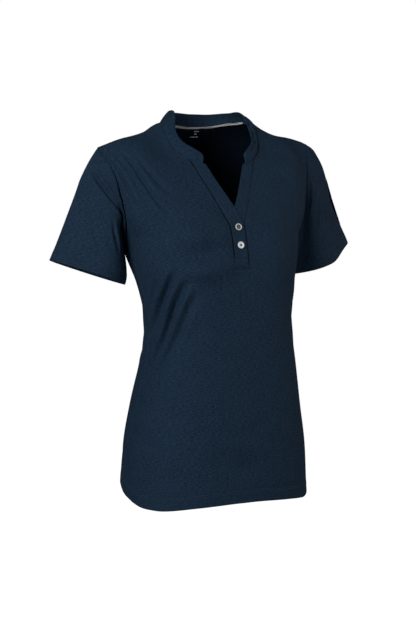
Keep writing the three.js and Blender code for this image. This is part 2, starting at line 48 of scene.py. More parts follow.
# %% [markdown]
# ## The camera
#
# A shirt like this is usually shown three quarters from its right, from a little above the chest,
# with a long lens from about three metres, so that the near sleeve is hardly larger than the far
# one. A camera can be placed by its location and rotation; here it is placed by the way it looks
# at the middle of the shirt, because those two angles are what one would change.

# %% The camera
LOOK_AT = Vector((0.003, 0.0, -0.320))
AZIMUTH, ELEVATION, DISTANCE = np.radians(-30.0), np.radians(5.5), 3.0
LENS = 104.0


def direction(azimuth, elevation):
    """The way from the shirt to a place seen at these angles, as a unit vector."""
    level = np.cos(elevation)
    return Vector((np.sin(azimuth) * level, -np.cos(azimuth) * level, np.sin(elevation)))


def aimed(name, data, place):
    """A camera or lamp at this place, turned towards the middle of the shirt."""
    thing = bpy.data.objects.new(name, data)
    bpy.context.scene.collection.objects.link(thing)
    thing.location = place
    thing.rotation_euler = (LOOK_AT - place).to_track_quat("-Z", "Y").to_euler()
    return thing


lens = bpy.data.cameras.new("camera")
lens.lens = LENS
camera = aimed("camera", lens, LOOK_AT + DISTANCE * direction(AZIMUTH, ELEVATION))
bpy.context.scene.camera = camera
print("camera at", [round(v, 3) for v in camera.location])

# %% [markdown]
# ## Light and floor
#
# Dark cloth shows its shape only where the light falls off, so most light comes from one side: a
# broad soft lamp stands to the left of the camera, and a weaker, warmer one above it. Two weak
# lamps fill the far side of the shirt and one lights its back. All are area lamps, whose size makes
# the shadows soft. The white room would fill every fold with light if it lit the cloth too, so the
# world and the floor are seen but give no light.

# %% Light and floor
FULL = np.pi**2  # watts per square metre of distance that light a facing surface to its own colour


def softbox(name, turn, rise, distance, size, strength, tint):
    """A square lamp; turn and rise are its angles in degrees from the camera's side."""
    lamp = bpy.data.lights.new(name, "AREA")
    lamp.shape = "SQUARE"
    lamp.size = size
    lamp.energy = strength * FULL * distance**2
    lamp.color = tint
    side = direction(AZIMUTH + np.radians(turn), np.radians(rise))
    return aimed(name, lamp, LOOK_AT + distance * side)


WARM, COOL = (1.0, 0.98, 0.95), (0.92, 1.0, 1.04)
softbox("key", -24, 12, 2.6, 0.8, 0.52, COOL)
softbox("high", -34, 38, 2.6, 0.8, 0.25, WARM)
softbox("fill", 58, 5, 2.6, 1.0, 0.19, COOL)
softbox("far_side", 111, 8, 2.6, 1.0, 0.19, COOL)
softbox("behind", 178, 6, 2.6, 1.3, 0.55, WARM)

world = bpy.data.worlds.new("white room")
bpy.context.scene.world = world
world.use_nodes = True
world.node_tree.nodes["Background"].inputs["Color"].default_value = (1, 1, 1, 1)
world.cycles_visibility.diffuse = False
world.cycles_visibility.glossy = False

FLOOR_BELOW_NECK = 1.38  # metres: a standing wearer's shoulders are this far above the floor
bpy.ops.mesh.primitive_plane_add(size=60, location=(0, 0, -FLOOR_BELOW_NECK))
floor = bpy.context.object
floor.name = "floor"
floor.visible_diffuse = False
floor.visible_glossy = False

pale = bpy.data.materials.new("pale floor")
pale.use_nodes = True
pale_shader = pale.node_tree.nodes["Principled BSDF"]
pale_shader.inputs["Base Color"].default_value = (0.8, 0.8, 0.8, 1)
pale_shader.inputs["Emission Color"].default_value = (1, 1, 1, 1)
pale_shader.inputs["Emission Strength"].default_value = 1.0
floor.data.materials.append(pale)
bpy.context.scene.view_settings.view_transform = "Standard"

# %% [markdown]
# ## Curves through short tables
#
# A pattern cutter measures a garment at a few levels and draws smooth lines through the marks. The
# tables below do the same: a few rows, read with a smooth (Hermite) curve between them. NURBS
# surfaces could do this too, but plain functions can be read at any number of points, which gives
# the fine meshes that folds need.

# %% Curves through short tables


def table(header, *rows):
    """A short table as a dict: the columns by their names."""
    return dict(zip(header.split(), np.array(rows, float).T))


def hermite(start, start_slope, end, end_slope, u):
    u2, u3 = u * u, u * u * u
    first = start * (2 * u3 - 3 * u2 + 1) + start_slope * (u3 - 2 * u2 + u)
    return first + end * (3 * u2 - 2 * u3) + end_slope * (u3 - u2)


def smooth(rows, column, ruler, at):
    """The smooth value of one column at places along another."""
    order = np.argsort(rows[ruler])
    x, y = rows[ruler][order], rows[column][order]
    slope = np.gradient(y, x)
    slope[1:-1] = (y[2:] - y[:-2]) / (x[2:] - x[:-2])
    k = np.clip(np.searchsorted(x, at) - 1, 0, len(x) - 2)
    span = x[k + 1] - x[k]
    u = np.clip((at - x[k]) / span, 0, 1)
    return hermite(y[k], slope[k] * span, y[k + 1], slope[k + 1] * span, u)


def seam_line(points):
    """A smooth line through points; the result gives its places by the share of its length."""
    p = np.array(points, float)
    p = np.vstack([2 * p[0] - p[1], p, 2 * p[-1] - p[-2]])
    knots = np.concatenate([[0], np.cumsum(np.sqrt(np.linalg.norm(np.diff(p, axis=0), axis=1)))])
    fine = []
    for k in range(1, len(p) - 2):
        a, b, c = np.diff(knots)[k - 1 : k + 2]
        before, here, after = np.diff(p, axis=0)[k - 1 : k + 2]
        leave = (before / a - (before + here) / (a + b) + here / b) * b
        arrive = (here / b - (here + after) / (b + c) + after / c) * b
        fine.append(hermite(p[k], leave, p[k + 1], arrive, np.linspace(0, 1, 200)[:, None]))
    fine = np.vstack(fine)
    length = np.concatenate([[0], np.cumsum(np.linalg.norm(np.diff(fine, axis=0), axis=1))])
    length /= length[-1]
    return lambda share: np.stack([np.interp(share, length, fine[:, k]) for k in range(3)], -1)


def fade(u):
    """Falls from 1 to 0 as u goes from 0 to 1, level at both ends."""
    u = np.clip(u, 0, 1)
    return (1 - u) ** 2 * (1 + 2 * u)


def ridge(value, at, wide):
    """A smooth ridge of height 1 at a place, which fades out on both sides of it."""
    return np.exp(-(((value - at) / wide) ** 2))


def bridge(start, leave, end, arrive, t):
    """The smooth way between two places, leaving and arriving in these directions."""
    length = np.linalg.norm(end - start, axis=-1, keepdims=True)
    leave = leave / np.linalg.norm(leave, axis=-1, keepdims=True) * length
    arrive = arrive / np.linalg.norm(arrive, axis=-1, keepdims=True) * length
    return hermite(start, leave, end, arrive, t)


# %% [markdown]
# ## The form of the body
#
# The body of a fitted shirt is a tube that narrows at the waist. It is given by level rings from
# the hem to the underarm, each half an ellipse or a little squarer, and by the line down the centre
# front. Above the underarm the cloth runs on in smooth columns to the neck, the shoulder seam and
# the armholes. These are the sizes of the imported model, so the thin cloth lies on its walls.

# %% The form of the body
UNDERARM, BOX_BOTTOM, BOX_HALF_WIDTH = -188, -235, 12
NECK_POINT, SHOULDER_TIP = (85, -5, -5), (198, 4, -46)
LEFT_RAISED, RAISED_REACH = 4.0, 34  # mm: the left shoulder stands higher, and how far round
RINGS = table(
    "z half_width side back front_square back_square",
    (-188, 155, -12, 78, 2.5, 2.9),
    (-235, 145, -22, 66, 2.5, 2.5),
    (-285, 134, -32, 53, 2.4, 2.2),
    (-340, 128, -40, 46, 2.3, 2.2),
    (-400, 136, -38, 54, 2.3, 2.2),
    (-470, 147, -33, 69, 2.3, 2.2),
    (-540, 159, -27, 82, 2.3, 2.2),
    (-630, 165, -24, 87, 2.3, 2.2),
)
CENTRE_FRONT = table(
    "z y",
    *((-60, -52), (-75, -59), (-100, -70), (-131, -85), (-160, -95), (-188, -104)),
    *((-235, -114), (-300, -122), (-380, -126), (-500, -130), (-640, -133)),
)
FRONT_HEM = table(
    "girth z",
    *((-1.1, -603), (-1, -611), (-0.9, -618), (-0.8, -623), (-0.7, -625), (-0.6, -626)),
    *((-0.5, -625), (-0.3, -621.5), (0, -618.5), (0.3, -623), (0.55, -628), (0.66, -626.5)),
    *((0.78, -622), (0.9, -612), (1, -600)),
)
BACK_HEM = table(
    "girth z",
    *((-0.9, -603), (-0.85, -598), (-0.78, -595), (-0.7, -599), (-0.5, -616), (0, -628)),
    *((0.6, -622), (0.85, -608), (1, -600)),
)
DRIFT, DRIFT_FROM, DRIFT_TO = 0.1, -350, -630  # the right side seam drifts back below the waist
FULLNESS = {"x": 78, "z": -212, "wide": 46, "high": 52, "lift": 11}  # room for the bust, each side


def ring_point(face, angle, z):
    """Places on the left half of a level ring; angle 0 is the centre line and 1 the side seam."""
    half_width, side = smooth(RINGS, "half_width", "z", z), smooth(RINGS, "side", "z", z)
    power = 2 / smooth(RINGS, face + "_square", "z", z)
    x = half_width * np.sin(angle * np.pi / 2) ** power
    if face == "front":
        across = (x - FULLNESS["x"]) / FULLNESS["wide"]
        down = (z - FULLNESS["z"]) / FULLNESS["high"]
        reach = smooth(CENTRE_FRONT, "y", "z", z) - side
        reach = reach - FULLNESS["lift"] * np.exp(-(across**2) - down**2)
    else:
        reach = smooth(RINGS, "back", "z", z) - side
    y = side + reach * np.clip(np.cos(angle * np.pi / 2), 0, 1) ** power
    return np.stack(np.broadcast_arrays(x, y, z), -1)


def raised(points):
    """Places of the left side, with the shoulder's tip raised as it stands on the left."""
    off_tip = np.linalg.norm(points - np.array(SHOULDER_TIP), axis=-1)
    return points + ridge(off_tip, 0, RAISED_REACH)[..., None] * (0, 0, LEFT_RAISED)


def drift(side, z):
    """How far the side seam of a side, 1 left or -1 right, lies behind the side of the ring."""
    return DRIFT * (side < 0) * fade((z - DRIFT_TO) / (DRIFT_FROM - DRIFT_TO))


def angle_at(face, x, z):
    """The angle at which a ring is this far from the centre line."""
    power = 2 / smooth(RINGS, face + "_square", "z", z)
    return np.arcsin((x / smooth(RINGS, "half_width", "z", z)) ** (1 / power)) / (np.pi / 2)


OPENING_ANGLE = angle_at("front", BOX_HALF_WIDTH, np.float64(UNDERARM))
UNDERARM_POINT = ring_point("front", 1.0, np.float64(UNDERARM))
OPENING_FOOT = ring_point("front", OPENING_ANGLE, np.float64(UNDERARM))
opening_seam = seam_line(
    [OPENING_FOOT, (13, -99.5, -172), (18, -94, -160), (31, -83, -131), (45, -68, -100)]
    + [(61, -50, -66), (72, -42, -57), (81, -32, -46), (86, -19, -27), NECK_POINT]
)
front_armhole = seam_line(
    [UNDERARM_POINT, (163, -26, -165), (172, -30, -132), (184, -22, -83), SHOULDER_TIP]
)
back_armhole = seam_line(
    [UNDERARM_POINT, (162, 18, -172), (172, 40, -132), (186, 38, -83), SHOULDER_TIP]
)
back_neck = seam_line([(0, 66, -17), (36, 58, -14), (68, 32, -7), NECK_POINT])
shoulder_seam = seam_line(
    [NECK_POINT, (104, -3.5, -17), (127, -1.7, -25.5), (160, 1, -33.5), SHOULDER_TIP]
)
print("underarm at", UNDERARM_POINT.round(1), "and the tip of the shoulder at", SHOULDER_TIP)

# %% [markdown]
# The yoke, above the underarm, is made of columns. Each leaves the ring in line with the cloth
# below it and arrives at the top edge the way cloth lies over a shoulder. The columns are then
# pulled a little so that the inner and the outer edge of the panel run exactly along their seams.

# %% The yoke
OVER_SHOULDER, INTO_NECK = np.array([0.05, 0.97, 0.22]), np.array([0, -0.35, 0.94])
SLOPE_STEP, EDGE_REACH, NECK_SHARE = 8, 0.6, 0.42


def columns_to(face, angle, top, arrival, t):
    """Columns of cloth from the underarm ring up to their places on a top edge."""
    foot = ring_point(face, angle, np.float64(UNDERARM))
    below = ring_point(face, angle, np.float64(UNDERARM - SLOPE_STEP))
    return bridge(foot, foot - below, top, arrival, t[:, None, None])


def fitted_yoke(face, angle, top, arrival, inner, outer, s, t):
    """Columns corrected along both edges; s runs from the inner edge to the armhole."""
    everywhere = columns_to(face, angle(s), top(s), arrival(s), t)
    for edge, line, distance in ((0.0, inner, s), (1.0, outer, 1 - s)):
        place = np.array([edge])
        column = columns_to(face, angle(place), top(place), arrival(place), t)
        pull = line(t)[:, None] - column
        everywhere = everywhere + pull * fade(distance / EDGE_REACH)[None, :, None]
    return everywhere


def front_yoke(s, t):
    """The left front above the underarm, from the opening to the armhole."""
    def angle(s):
        return OPENING_ANGLE + (1 - OPENING_ANGLE) * s

    def arrival(s):
        return np.broadcast_to(OVER_SHOULDER, (len(s), 3))

    return fitted_yoke("front", angle, shoulder_seam, arrival, opening_seam, front_armhole, s, t)


def back_top(s):
    """The top edge of the back: along the neck for the first share, then along the shoulder."""
    on_shoulder = shoulder_seam(np.clip((s - NECK_SHARE) / (1 - NECK_SHARE), 0, 1))
    return np.where(s[:, None] < NECK_SHARE, back_neck(np.clip(s / NECK_SHARE, 0, 1)), on_shoulder)


def back_yoke(s, t):
    """The left back above the underarm, from the centre back to the armhole."""
    def arrival(s):
        blend = np.clip(s / NECK_SHARE, 0, 1)[:, None]
        return INTO_NECK * (1 - blend) - OVER_SHOULDER * blend

    def centre_back(t):
        middle = np.array([0.0])
        return columns_to("back", middle, back_neck(middle), INTO_NECK[None], t)[:, 0]

    return fitted_yoke("back", lambda s: s, back_top, arrival, centre_back, back_armhole, s, t)


# %% [markdown]
# ## Folds
#
# Worn jersey hangs smooth over most of the body and folds only where it is pulled: from the bust
# down to the waist at the sides, from the shoulder towards the chest, and in the sleeves. A cloth
# simulation would find folds of its own, but never these, so each is listed. A fold is a
# line over the cloth with a width and a depth: the cloth sinks along the line and swells a little
# on both sides, and the fold fades out at its ends.

# %% Folds
HALF_GIRTH = 200  # mm of cloth from the centre line to the side seam, by which folds are placed
SWELL, SWELL_AT, SWELL_WIDE = 0.42, 1.9, 0.9  # of a fold's depth and its width
SWELL_LEAN = 0.35  # how much more a fold swells on one side than on the other
FOLD_POINTS, FOLD_TAPER = 25, 0.8
FOLD = "across along by_across by_along to_across to_along wide deep"  # the columns of a fold's row


def nearest_on(line, across, along):
    """Distance from a line over the cloth, the share of its length there, and the side of it."""
    shape = np.broadcast(across, along).shape
    nearest, share, side = np.full(shape, 1e9), np.zeros(shape), np.zeros(shape)
    for k, step in enumerate(np.diff(line, axis=0)):
        x, y = across - line[k][0], along - line[k][1]
        ahead = np.clip((x * step[0] + y * step[1]) / (step @ step), 0, 1)
        off_x, off_y = x - ahead * step[0], y - ahead * step[1]
        off = np.hypot(off_x, off_y)
        closer = off < nearest
        nearest = np.where(closer, off, nearest)
        share = np.where(closer, (k + ahead) / (len(line) - 1), share)
        side = np.where(closer, np.sign(off_x * step[1] - off_y * step[0]), side)
    return nearest, share, side


def fold_depth(folds, across, along):
    """How deep the folds press the cloth in at places of the cloth, in mm."""
    depth = np.zeros(np.broadcast(across, along).shape)
    u = np.linspace(0, 1, FOLD_POINTS)[:, None]
    for fold in zip(*(folds[name] for name in FOLD.split())):
        start, middle, end = np.array(fold[:6]).reshape(3, 2)
        wide, deep = fold[6:]
        bend = 2 * middle - (start + end) / 2
        line = (1 - u) ** 2 * start + 2 * u * (1 - u) * bend + u * u * end
        off, share, side = nearest_on(line, across, along)
        off = off / wide
        swells = ridge(off, SWELL_AT, SWELL_WIDE) * (1 + SWELL_LEAN * side)
        depth += deep * np.sin(np.pi * share) ** FOLD_TAPER * (ridge(off, 0, 1) - SWELL * swells)
    return depth


BODY_RIPPLE, SLEEVE_RIPPLE = (150, 0.5), (130, 0.6)  # mm, the size of the ripples and their height
BAND_RIPPLE, STRIP_RIPPLE = (60, 0.25), (40, 0.2)


def unevenness(across, along, size, height):
    """Very low soft ripples, so that no part of the cloth is as even as a machined wall."""
    waves = ((1.0, 0.35, 0.3), (-0.45, 0.9, 1.9), (0.6, -1.25, 4.1), (1.7, 0.8, 2.6))
    ripple = sum(np.sin((a * across + b * along) / size * 2 * np.pi + c) for a, b, c in waves)
    return height * ripple / len(waves)


BODY_FOLDS = table(
    FOLD,
    # from the bust down to the waist, on the right
    (-142, -252, -176, -285, -204, -320, 3.6, 3.6),
    (-101, -240, -143, -285, -212, -364, 5.5, 8.5),
    (-80, -258, -133, -317, -204, -440, 6.0, 8.5),
    (-64, -274, -110, -331, -172, -434, 7.0, 5.0),
    # from the right shoulder towards the chest
    (-156, -52, -129, -99, -84, -156, 4.6, 4.6),
    (-194, -50, -183, -95, -156, -148, 5.0, 4.2),
    (-128, -58, -100, -93, -62, -130, 5.6, 3.0),
    (-172, -60, -150, -100, -116, -156, 5.6, 2.2),
    # below the placket and under the bust
    (-20, -242.2, 0, -242.4, 20, -242.2, 1.8, 3.0),
    (-96, -205, -52, -214, -19, -201, 16.0, 10.0),
    (-128, -216, -112, -227, -94, -240, 10.0, 1.8),
    # broad hollows and swells beside the side seams
    (-246, -230, -240, -278, -240, -325, 26.0, 1.8),
    (-240, -400, -245, -465, -235, -540, 34.0, -4.0),
    (200, -250, 203, -305, 200, -355, 24.0, -1.6),
    # the swell along the shoulder seams, of the front and of the back
    (-110, -14, -150, -26, -194, -42, 10.0, -1.6),
    (-290, -14, -250, -26, -206, -42, 10.0, -1.6),
    (140, -18, 165, -28, 200, -44, 12.0, -2.2),
    (260, -18, 235, -28, 200, -44, 12.0, -2.2),
    # the left side and the back, and a broad dent below the waist
    (140, -255, 168, -290, 204, -330, 7.0, 3.0),
    (110, -285, 140, -328, 176, -372, 7.0, 2.4),
    (-290, -262, -250, -305, -216, -345, 8.0, 3.2),
    (-340, -300, -280, -350, -230, -395, 8.0, 3.4),
    (300, -270, 256, -312, 214, -350, 8.0, 3.2),
    (344, -318, 290, -358, 240, -392, 8.0, 3.0),
    (40, -560, -14, -558, -58, -540, 18.0, 1.6),
)
print(len(BODY_FOLDS["wide"]), "folds on the body")

# %% [markdown]
# ## From a grid of places to thin cloth
#
# A panel of cloth is a grid: rows go up the cloth and columns go across it. Two things make such a
# grid look like cloth instead of plastic. Its edges are not sharp but turn inwards, into the seam
# allowance or the hem, and the grid is finer there. And its cloth coordinates, in metres along and
# across the knit, are kept in a UV map, so the knitted pattern follows the panel as it was cut.

# %% Grids
JERSEY = 0.8  # mm, thickness of the cloth
EDGE_STEPS = (0, 0.5, 1.0, 1.6, 2.4, 3.6)  # mm from an edge, where the grid is finer
TURNED_IN = (1.2, 2.4)  # mm inwards of the two rows that are turned in along a seam
SEAM_DEEP, SEAM_WIDE = 0.85, 1.2  # the groove that a seam pulls into the cloth
FAR = 1e3  # mm, further from any seam than its groove reaches


def spread(length, step, fine_start=True, fine_end=True):
    """Places from 0 to a length in mm, about a step apart and finer at the chosen ends."""
    near = np.array(EDGE_STEPS)
    start, end = (near if fine_start else [0.0]), (length - near[::-1] if fine_end else [length])
    middle = np.linspace(start[-1], end[0], max(2, round((end[0] - start[-1]) / step) + 1))
    return np.concatenate([start, middle[1:-1], end])


def normals_of(points, closed=False):
    """Unit normals of a grid, on the side from which its columns run right and its rows up."""
    if closed:
        across = np.roll(points, -1, axis=1) - np.roll(points, 1, axis=1)
    else:
        across = np.gradient(points, axis=1)
    normal = np.cross(across, np.gradient(points, axis=0))
    return normal / np.maximum(np.linalg.norm(normal, axis=-1, keepdims=True), 1e-9)


def flap_normals(normals):
    """Turns the normals of the rows inside a hem outwards, like those of the cloth over them."""
    normals[: len(HEM_TURN) + 3] = normals[len(HEM_TURN) + 3]
    return normals


def lengths(points):
    """Lengths in mm along every row from its first column, and up every column."""
    across = np.cumsum(np.linalg.norm(np.diff(points, axis=1), axis=-1), axis=1)
    up = np.cumsum(np.linalg.norm(np.diff(points, axis=0), axis=-1), axis=0)
    return np.pad(across, ((0, 0), (1, 0))), np.pad(up, ((1, 0), (0, 0)))


def groove(*distances):
    """How deep the seams at these distances pull the cloth in."""
    return SEAM_DEEP * ridge(np.minimum.reduce(distances), 0, SEAM_WIDE)


def turned_in(points, normals, *edges):
    """Adds the seam allowance, turned inwards, along edges of a grid."""
    for edge in edges:
        axis, place = {"top": (0, -1), "right": (1, -1), "left": (1, 0)}[edge]
        row, way = np.take(points, [place], axis), np.take(normals, [place], axis)
        added = [row - way * depth for depth in TURNED_IN]
        ways = [way] * len(added)
        points = np.concatenate([points, *added] if place else [*added[::-1], points], axis)
        normals = np.concatenate([normals, *ways] if place else [*ways, normals], axis)
    return points


def relaxed(points, rounds):
    """Evens a grid out between its edges, as cloth does that nothing pulls."""
    points = points.copy()
    for _ in range(rounds):
        near = points[2:, 1:-1] + points[:-2, 1:-1] + points[1:-1, 2:] + points[1:-1, :-2]
        points[1:-1, 1:-1] += 0.5 * (near / 4 - points[1:-1, 1:-1])
    return points


# %% Meshes from grids


def grid_quads(rows, columns, closed=False):
    """Corner numbers of the quads of a grid, and of their places in its cloth coordinates."""
    r, c = np.mgrid[0 : rows - 1, 0 : columns if closed else columns - 1]
    along = (c + 1) % columns
    low, high = np.stack([r * columns + c, r * columns + along], -1), (r + 1) * columns
    quads = np.concatenate([low, np.stack([high + along, high + c], -1)], -1)
    low = np.stack([c, c + 1], -1) + (r * (columns + 1))[..., None]
    return quads, np.concatenate([low, low[..., ::-1] + columns + 1], -1)


def linked(name, mesh):
    thing = bpy.data.objects.new(name, mesh)
    bpy.context.scene.collection.objects.link(thing)
    return thing


def mesh_object(name, points, quads, uv=None):
    """A smooth mesh object; uv holds the cloth coordinates in mm of every corner of every quad."""
    used, quads = np.unique(quads, return_inverse=True)
    mesh = bpy.data.meshes.new(name)
    corners = points.reshape(-1, 3)[used] * MM
    mesh.from_pydata(corners.tolist(), [], quads.reshape(-1, 4).tolist())
    if uv is not None:
        layer = mesh.uv_layers.new(name="cloth")
        layer.uv.foreach_set("vector", (uv * MM).astype(np.float32).ravel())
    mesh.shade_smooth()
    return linked(name, mesh)


def cloth_places(points, closed=False, level=0):
    """Cloth coordinates in mm of a grid: from the middle of each row, and from one level row."""
    around = np.concatenate([points, points[:, :1]], axis=1) if closed else points
    across, up = lengths(around)
    middle = around.shape[1] // 2
    places = np.stack([across - across[:, middle : middle + 1], up - up[level]], -1)
    return places if closed else np.concatenate([places, places[:, -1:]], axis=1)


def sheet_from_grid(name, points, level=0, keep=None, closed=False, turned=False, thickness=JERSEY):
    """A thin sheet of cloth; the grid is its outer face, and "turned" turns it over."""
    quads, places = grid_quads(*points.shape[:2], closed)
    if keep is not None:
        quads, places = quads[keep], places[keep]
    quads, places = quads.reshape(-1, 4), places.reshape(-1, 4)
    if turned:
        quads, places = quads[:, ::-1], places[:, ::-1]
    uv = cloth_places(points, closed, level).reshape(-1, 2)[places]
    thing = mesh_object(name, points, quads, uv)
    wall = thing.modifiers.new("thickness", "SOLIDIFY")
    wall.thickness, wall.offset = thickness * MM, -1
    return thing


def dressed(thing, material, slot, *nodes):
    """Gives a piece its finish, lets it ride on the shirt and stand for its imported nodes."""
    thing.data.materials.append(material)
    # The inner face of every jersey sheet gets a darker copy of the jersey: painted shade for the
    # inside of the shirt.
    if "thickness" in thing.modifiers and material == navy:
        thing.data.materials.append(navy_painted_shade)
        thing.modifiers["thickness"].material_offset = 1
    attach(thing, "root")
    if nodes:
        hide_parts(*nodes)
    print(thing.name, len(thing.data.polygons), "faces")
    return thing


# %% [markdown]
# ## Heathered jersey
#
# The cloth is knitted from a yarn of dark navy and paler blue-grey fibres. From afar that is a fine
# speckle, a little longer along the rows of the knit than up it; from close by one sees the columns
# of small V-shaped stitches. An image texture would give this in one step, but a procedural
# material stays sharp at any distance and can be tuned: one noise drawn out along the rows for the
# yarn, a finer one for the speckle, a very broad one for the dye, and two waves that make the V
# shapes as bump.

# %% Node helpers
MIX_FACTOR, MIX_A, MIX_B, MIX_RESULT = 0, 6, 7, 2  # the Mix node's sockets for colours


class Nodes:
    """Short ways to add and join the nodes of one material."""

    def __init__(self, name, **principled):
        self.material = bpy.data.materials.new(name)
        self.material.use_nodes = True
        self.tree = self.material.node_tree
        self.shader = self.tree.nodes["Principled BSDF"]
        for socket, value in principled.items():
            self.shader.inputs[socket.replace("_", " ")].default_value = value
        self.cloth = self.add("UVMap", uv_map="cloth").outputs[0]

    def add(self, kind, inputs=(), **settings):
        node = self.tree.nodes.new("ShaderNode" + kind)
        for key, value in settings.items():
            setattr(node, key, value)
        for socket, value in dict(inputs).items():
            if isinstance(value, bpy.types.NodeSocket):
                self.tree.links.new(value, node.inputs[socket])
            else:
                node.inputs[socket].default_value = value
        return node

    def math(self, operation, first, second=0.0):
        return self.add("Math", {0: first, 1: second}, operation=operation).outputs[0]

    def weighted(self, *parts):
        """The sum of some values, each times its weight."""
        products = [v if weight == 1 else self.math("MULTIPLY", v, weight) for v, weight in parts]
        total = products[0]
        for product in products[1:]:
            total = self.math("ADD", total, product)
        return total

    def axes(self):
        """The cloth coordinates across and up the knit, as two numbers."""
        return self.add("SeparateXYZ", {0: self.cloth}).outputs[:2]

    def noise(self, x, y, detail=2.0):
        """Noise with so many spots in a metre across and up the cloth."""
        scaled = self.add("Mapping", {"Vector": self.cloth, "Scale": (x, y, 1.0)}).outputs[0]
        inputs = {"Vector": scaled, "Scale": 1.0, "Detail": detail}
        return self.add("TexNoise", inputs).outputs["Fac"]

    def ramp(self, value, low, high, to_low=0.0, to_high=1.0):
        return self.add("MapRange", {0: value, 1: low, 2: high, 3: to_low, 4: to_high}).outputs[0]

    def mix(self, factor, first, second):
        inputs = {MIX_FACTOR: factor, MIX_A: first, MIX_B: second}
        return self.add("Mix", inputs, data_type="RGBA").outputs[MIX_RESULT]

    def finish(self, color, height, distance, strength=1.0):
        """Joins a colour and a bump, whose height runs from 0 to 1, to the shader."""
        self.tree.links.new(color, self.shader.inputs["Base Color"])
        bump = self.add("Bump", {"Height": height, "Distance": distance * MM, "Strength": strength})
        self.tree.links.new(bump.outputs[0], self.shader.inputs["Normal"])
        return self.material


# %% Jersey
WALE, COURSE = 0.70, 0.52  # mm, width of a column and height of a row of stitches
DARK_YARN, PALE_YARN = (0.0040, 0.0138, 0.0300, 1), (0.0200, 0.0425, 0.0765, 1)
# Painted shade: the inner face is coloured at this share of the outside's brightness, standing in
# for the shade inside the shirt.
INSIDE_SHADE = 0.22  # share of the outside's brightness that the inside of the cloth has
YARN, SPECKLE, DYE = (170, 950), (480, 1900), (28, 40)  # spots in a metre across and up the knit


def knitted(nodes):
    """The height of the V-shaped stitches, from 0 to about 1."""
    across, up = nodes.axes()
    wales = nodes.math("DIVIDE", across, WALE * MM)
    leg = nodes.math("MULTIPLY", nodes.math("PINGPONG", wales, 0.5), 2.0)
    rise = nodes.math("DIVIDE", up, COURSE * MM)
    slant = nodes.weighted((rise, 1), (leg, 0.8))
    rows = nodes.math("SINE", nodes.math("MULTIPLY", slant, 2 * np.pi))
    between = nodes.math("SINE", nodes.math("MULTIPLY", leg, np.pi))
    return nodes.weighted((rows, 0.25), (between, 0.6))


def jersey(name, dark, pale, gloss):
    """Heathered knit of two colours of yarn."""
    nodes = Nodes(name, Specular_IOR_Level=gloss, Sheen_Weight=gloss / 4, Sheen_Roughness=0.45)
    nodes.shader.inputs["Sheen Tint"].default_value = (0.45, 0.62, 0.85, 1)
    yarn, speckle, dye = (nodes.noise(*spots) for spots in (YARN, SPECKLE, DYE))
    mixed = nodes.weighted((yarn, 0.5), (speckle, 0.5), (dye, 0.06))
    color = nodes.mix(nodes.ramp(mixed, 0.44, 0.62), dark, pale)
    height = nodes.weighted((knitted(nodes), 1), (speckle, 0.5))
    rough = nodes.ramp(speckle, 0.3, 0.7, 0.76, 0.88)
    nodes.tree.links.new(rough, nodes.shader.inputs["Roughness"])
    return nodes.finish(color, height, 0.12, 0.8)


# Yarn colours darkened by that share, as painted shade for the inner face.
def shaded_copy(color):
    return tuple(part * INSIDE_SHADE for part in color[:3]) + (1,)


navy = jersey("navy heather jersey", DARK_YARN, PALE_YARN, 0.12)
# The inner face: the same knit, darkened as painted shade and with less gloss.
navy_painted_shade = jersey("jersey inside with painted shade", shaded_copy(DARK_YARN), shaded_copy(PALE_YARN), 0.03)
print("jersey:", len(navy.node_tree.nodes), "nodes")

# %% [markdown]
# ## Front and back
#
# Each panel is laid out row by row. The hem comes first: on the real shirt 20 mm of cloth are
# turned up inside and held by two rows of stitches, so the grid starts inside, goes down, round the
# edge and up again. Then come the skirt, the chest and the yoke. The last rows and columns are
# turned in along the seams.

# %% Rows of a panel
ROW_STEP = 3.2
HEM_STITCHES = (17.6, 20.8)  # mm above the edge
HEM_TURN = ((20.5, 1.8), (14, 1.8), (8, 1.8), (3, 1.8), (0.9, 1.7), (0.2, 1.2))  # height, inwards
HEM_RISE = (0, 0.3, 1, 2.2, 4, 7, 10, 13, 15.2)
HEM_RISE += (16.4, 17.0, 17.6, 18.2, 18.8, 19.6, 20.2, 20.8, 21.4, 22.2, 24)
HEM_ROUND = {0: 0.7, 1: 0.3, 2: 0.08}  # inward steps of the first rows of the rise
HEM_PROUD, PROUD_FROM, PROUD_TO = 0.35, 17, 23  # mm: doubled cloth stands out, up to these heights
ROW_DENT, ROW_WIDE = 0.4, 0.7  # mm: how a row of stitches dents the cloth


def hem_rows():
    """Height above the edge and inward step of the rows of a hem, from inside the shirt upwards."""
    outside = [(height, HEM_ROUND.get(k, 0)) for k, height in enumerate(HEM_RISE)]
    above, inward = np.array(HEM_TURN + tuple(outside)).T
    dents = sum(ROW_DENT * ridge(above, row, ROW_WIDE) for row in HEM_STITCHES)
    proud = HEM_PROUD * fade((above - PROUD_FROM) / (PROUD_TO - PROUD_FROM))
    return above, np.where(inward > 1, inward, inward + dents - proud)


HEM_ABOVE, HEM_INWARD = hem_rows()
HEM_TOP = HEM_ABOVE[-1]
MEAN_HEM = -620
SKIRT_STEPS = round((BOX_BOTTOM - MEAN_HEM - HEM_TOP) / ROW_STEP)
CHEST_ROWS = np.linspace(BOX_BOTTOM, UNDERARM, 17)[1:]
YOKE_LENGTH, PANEL_WIDTH = 175, 212  # mm, about, for the spacing of the grid
YOKE_ROWS = spread(YOKE_LENGTH, ROW_STEP, fine_start=False)[1:] / YOKE_LENGTH
ACROSS = spread(PANEL_WIDTH, ROW_STEP) / PANEL_WIDTH
BOX_ROW = len(HEM_ABOVE) + SKIRT_STEPS  # first row above the lower end of the placket
LEVEL_ROW = BOX_ROW + len(CHEST_ROWS) - 1  # the row at the underarm, where the knit runs level


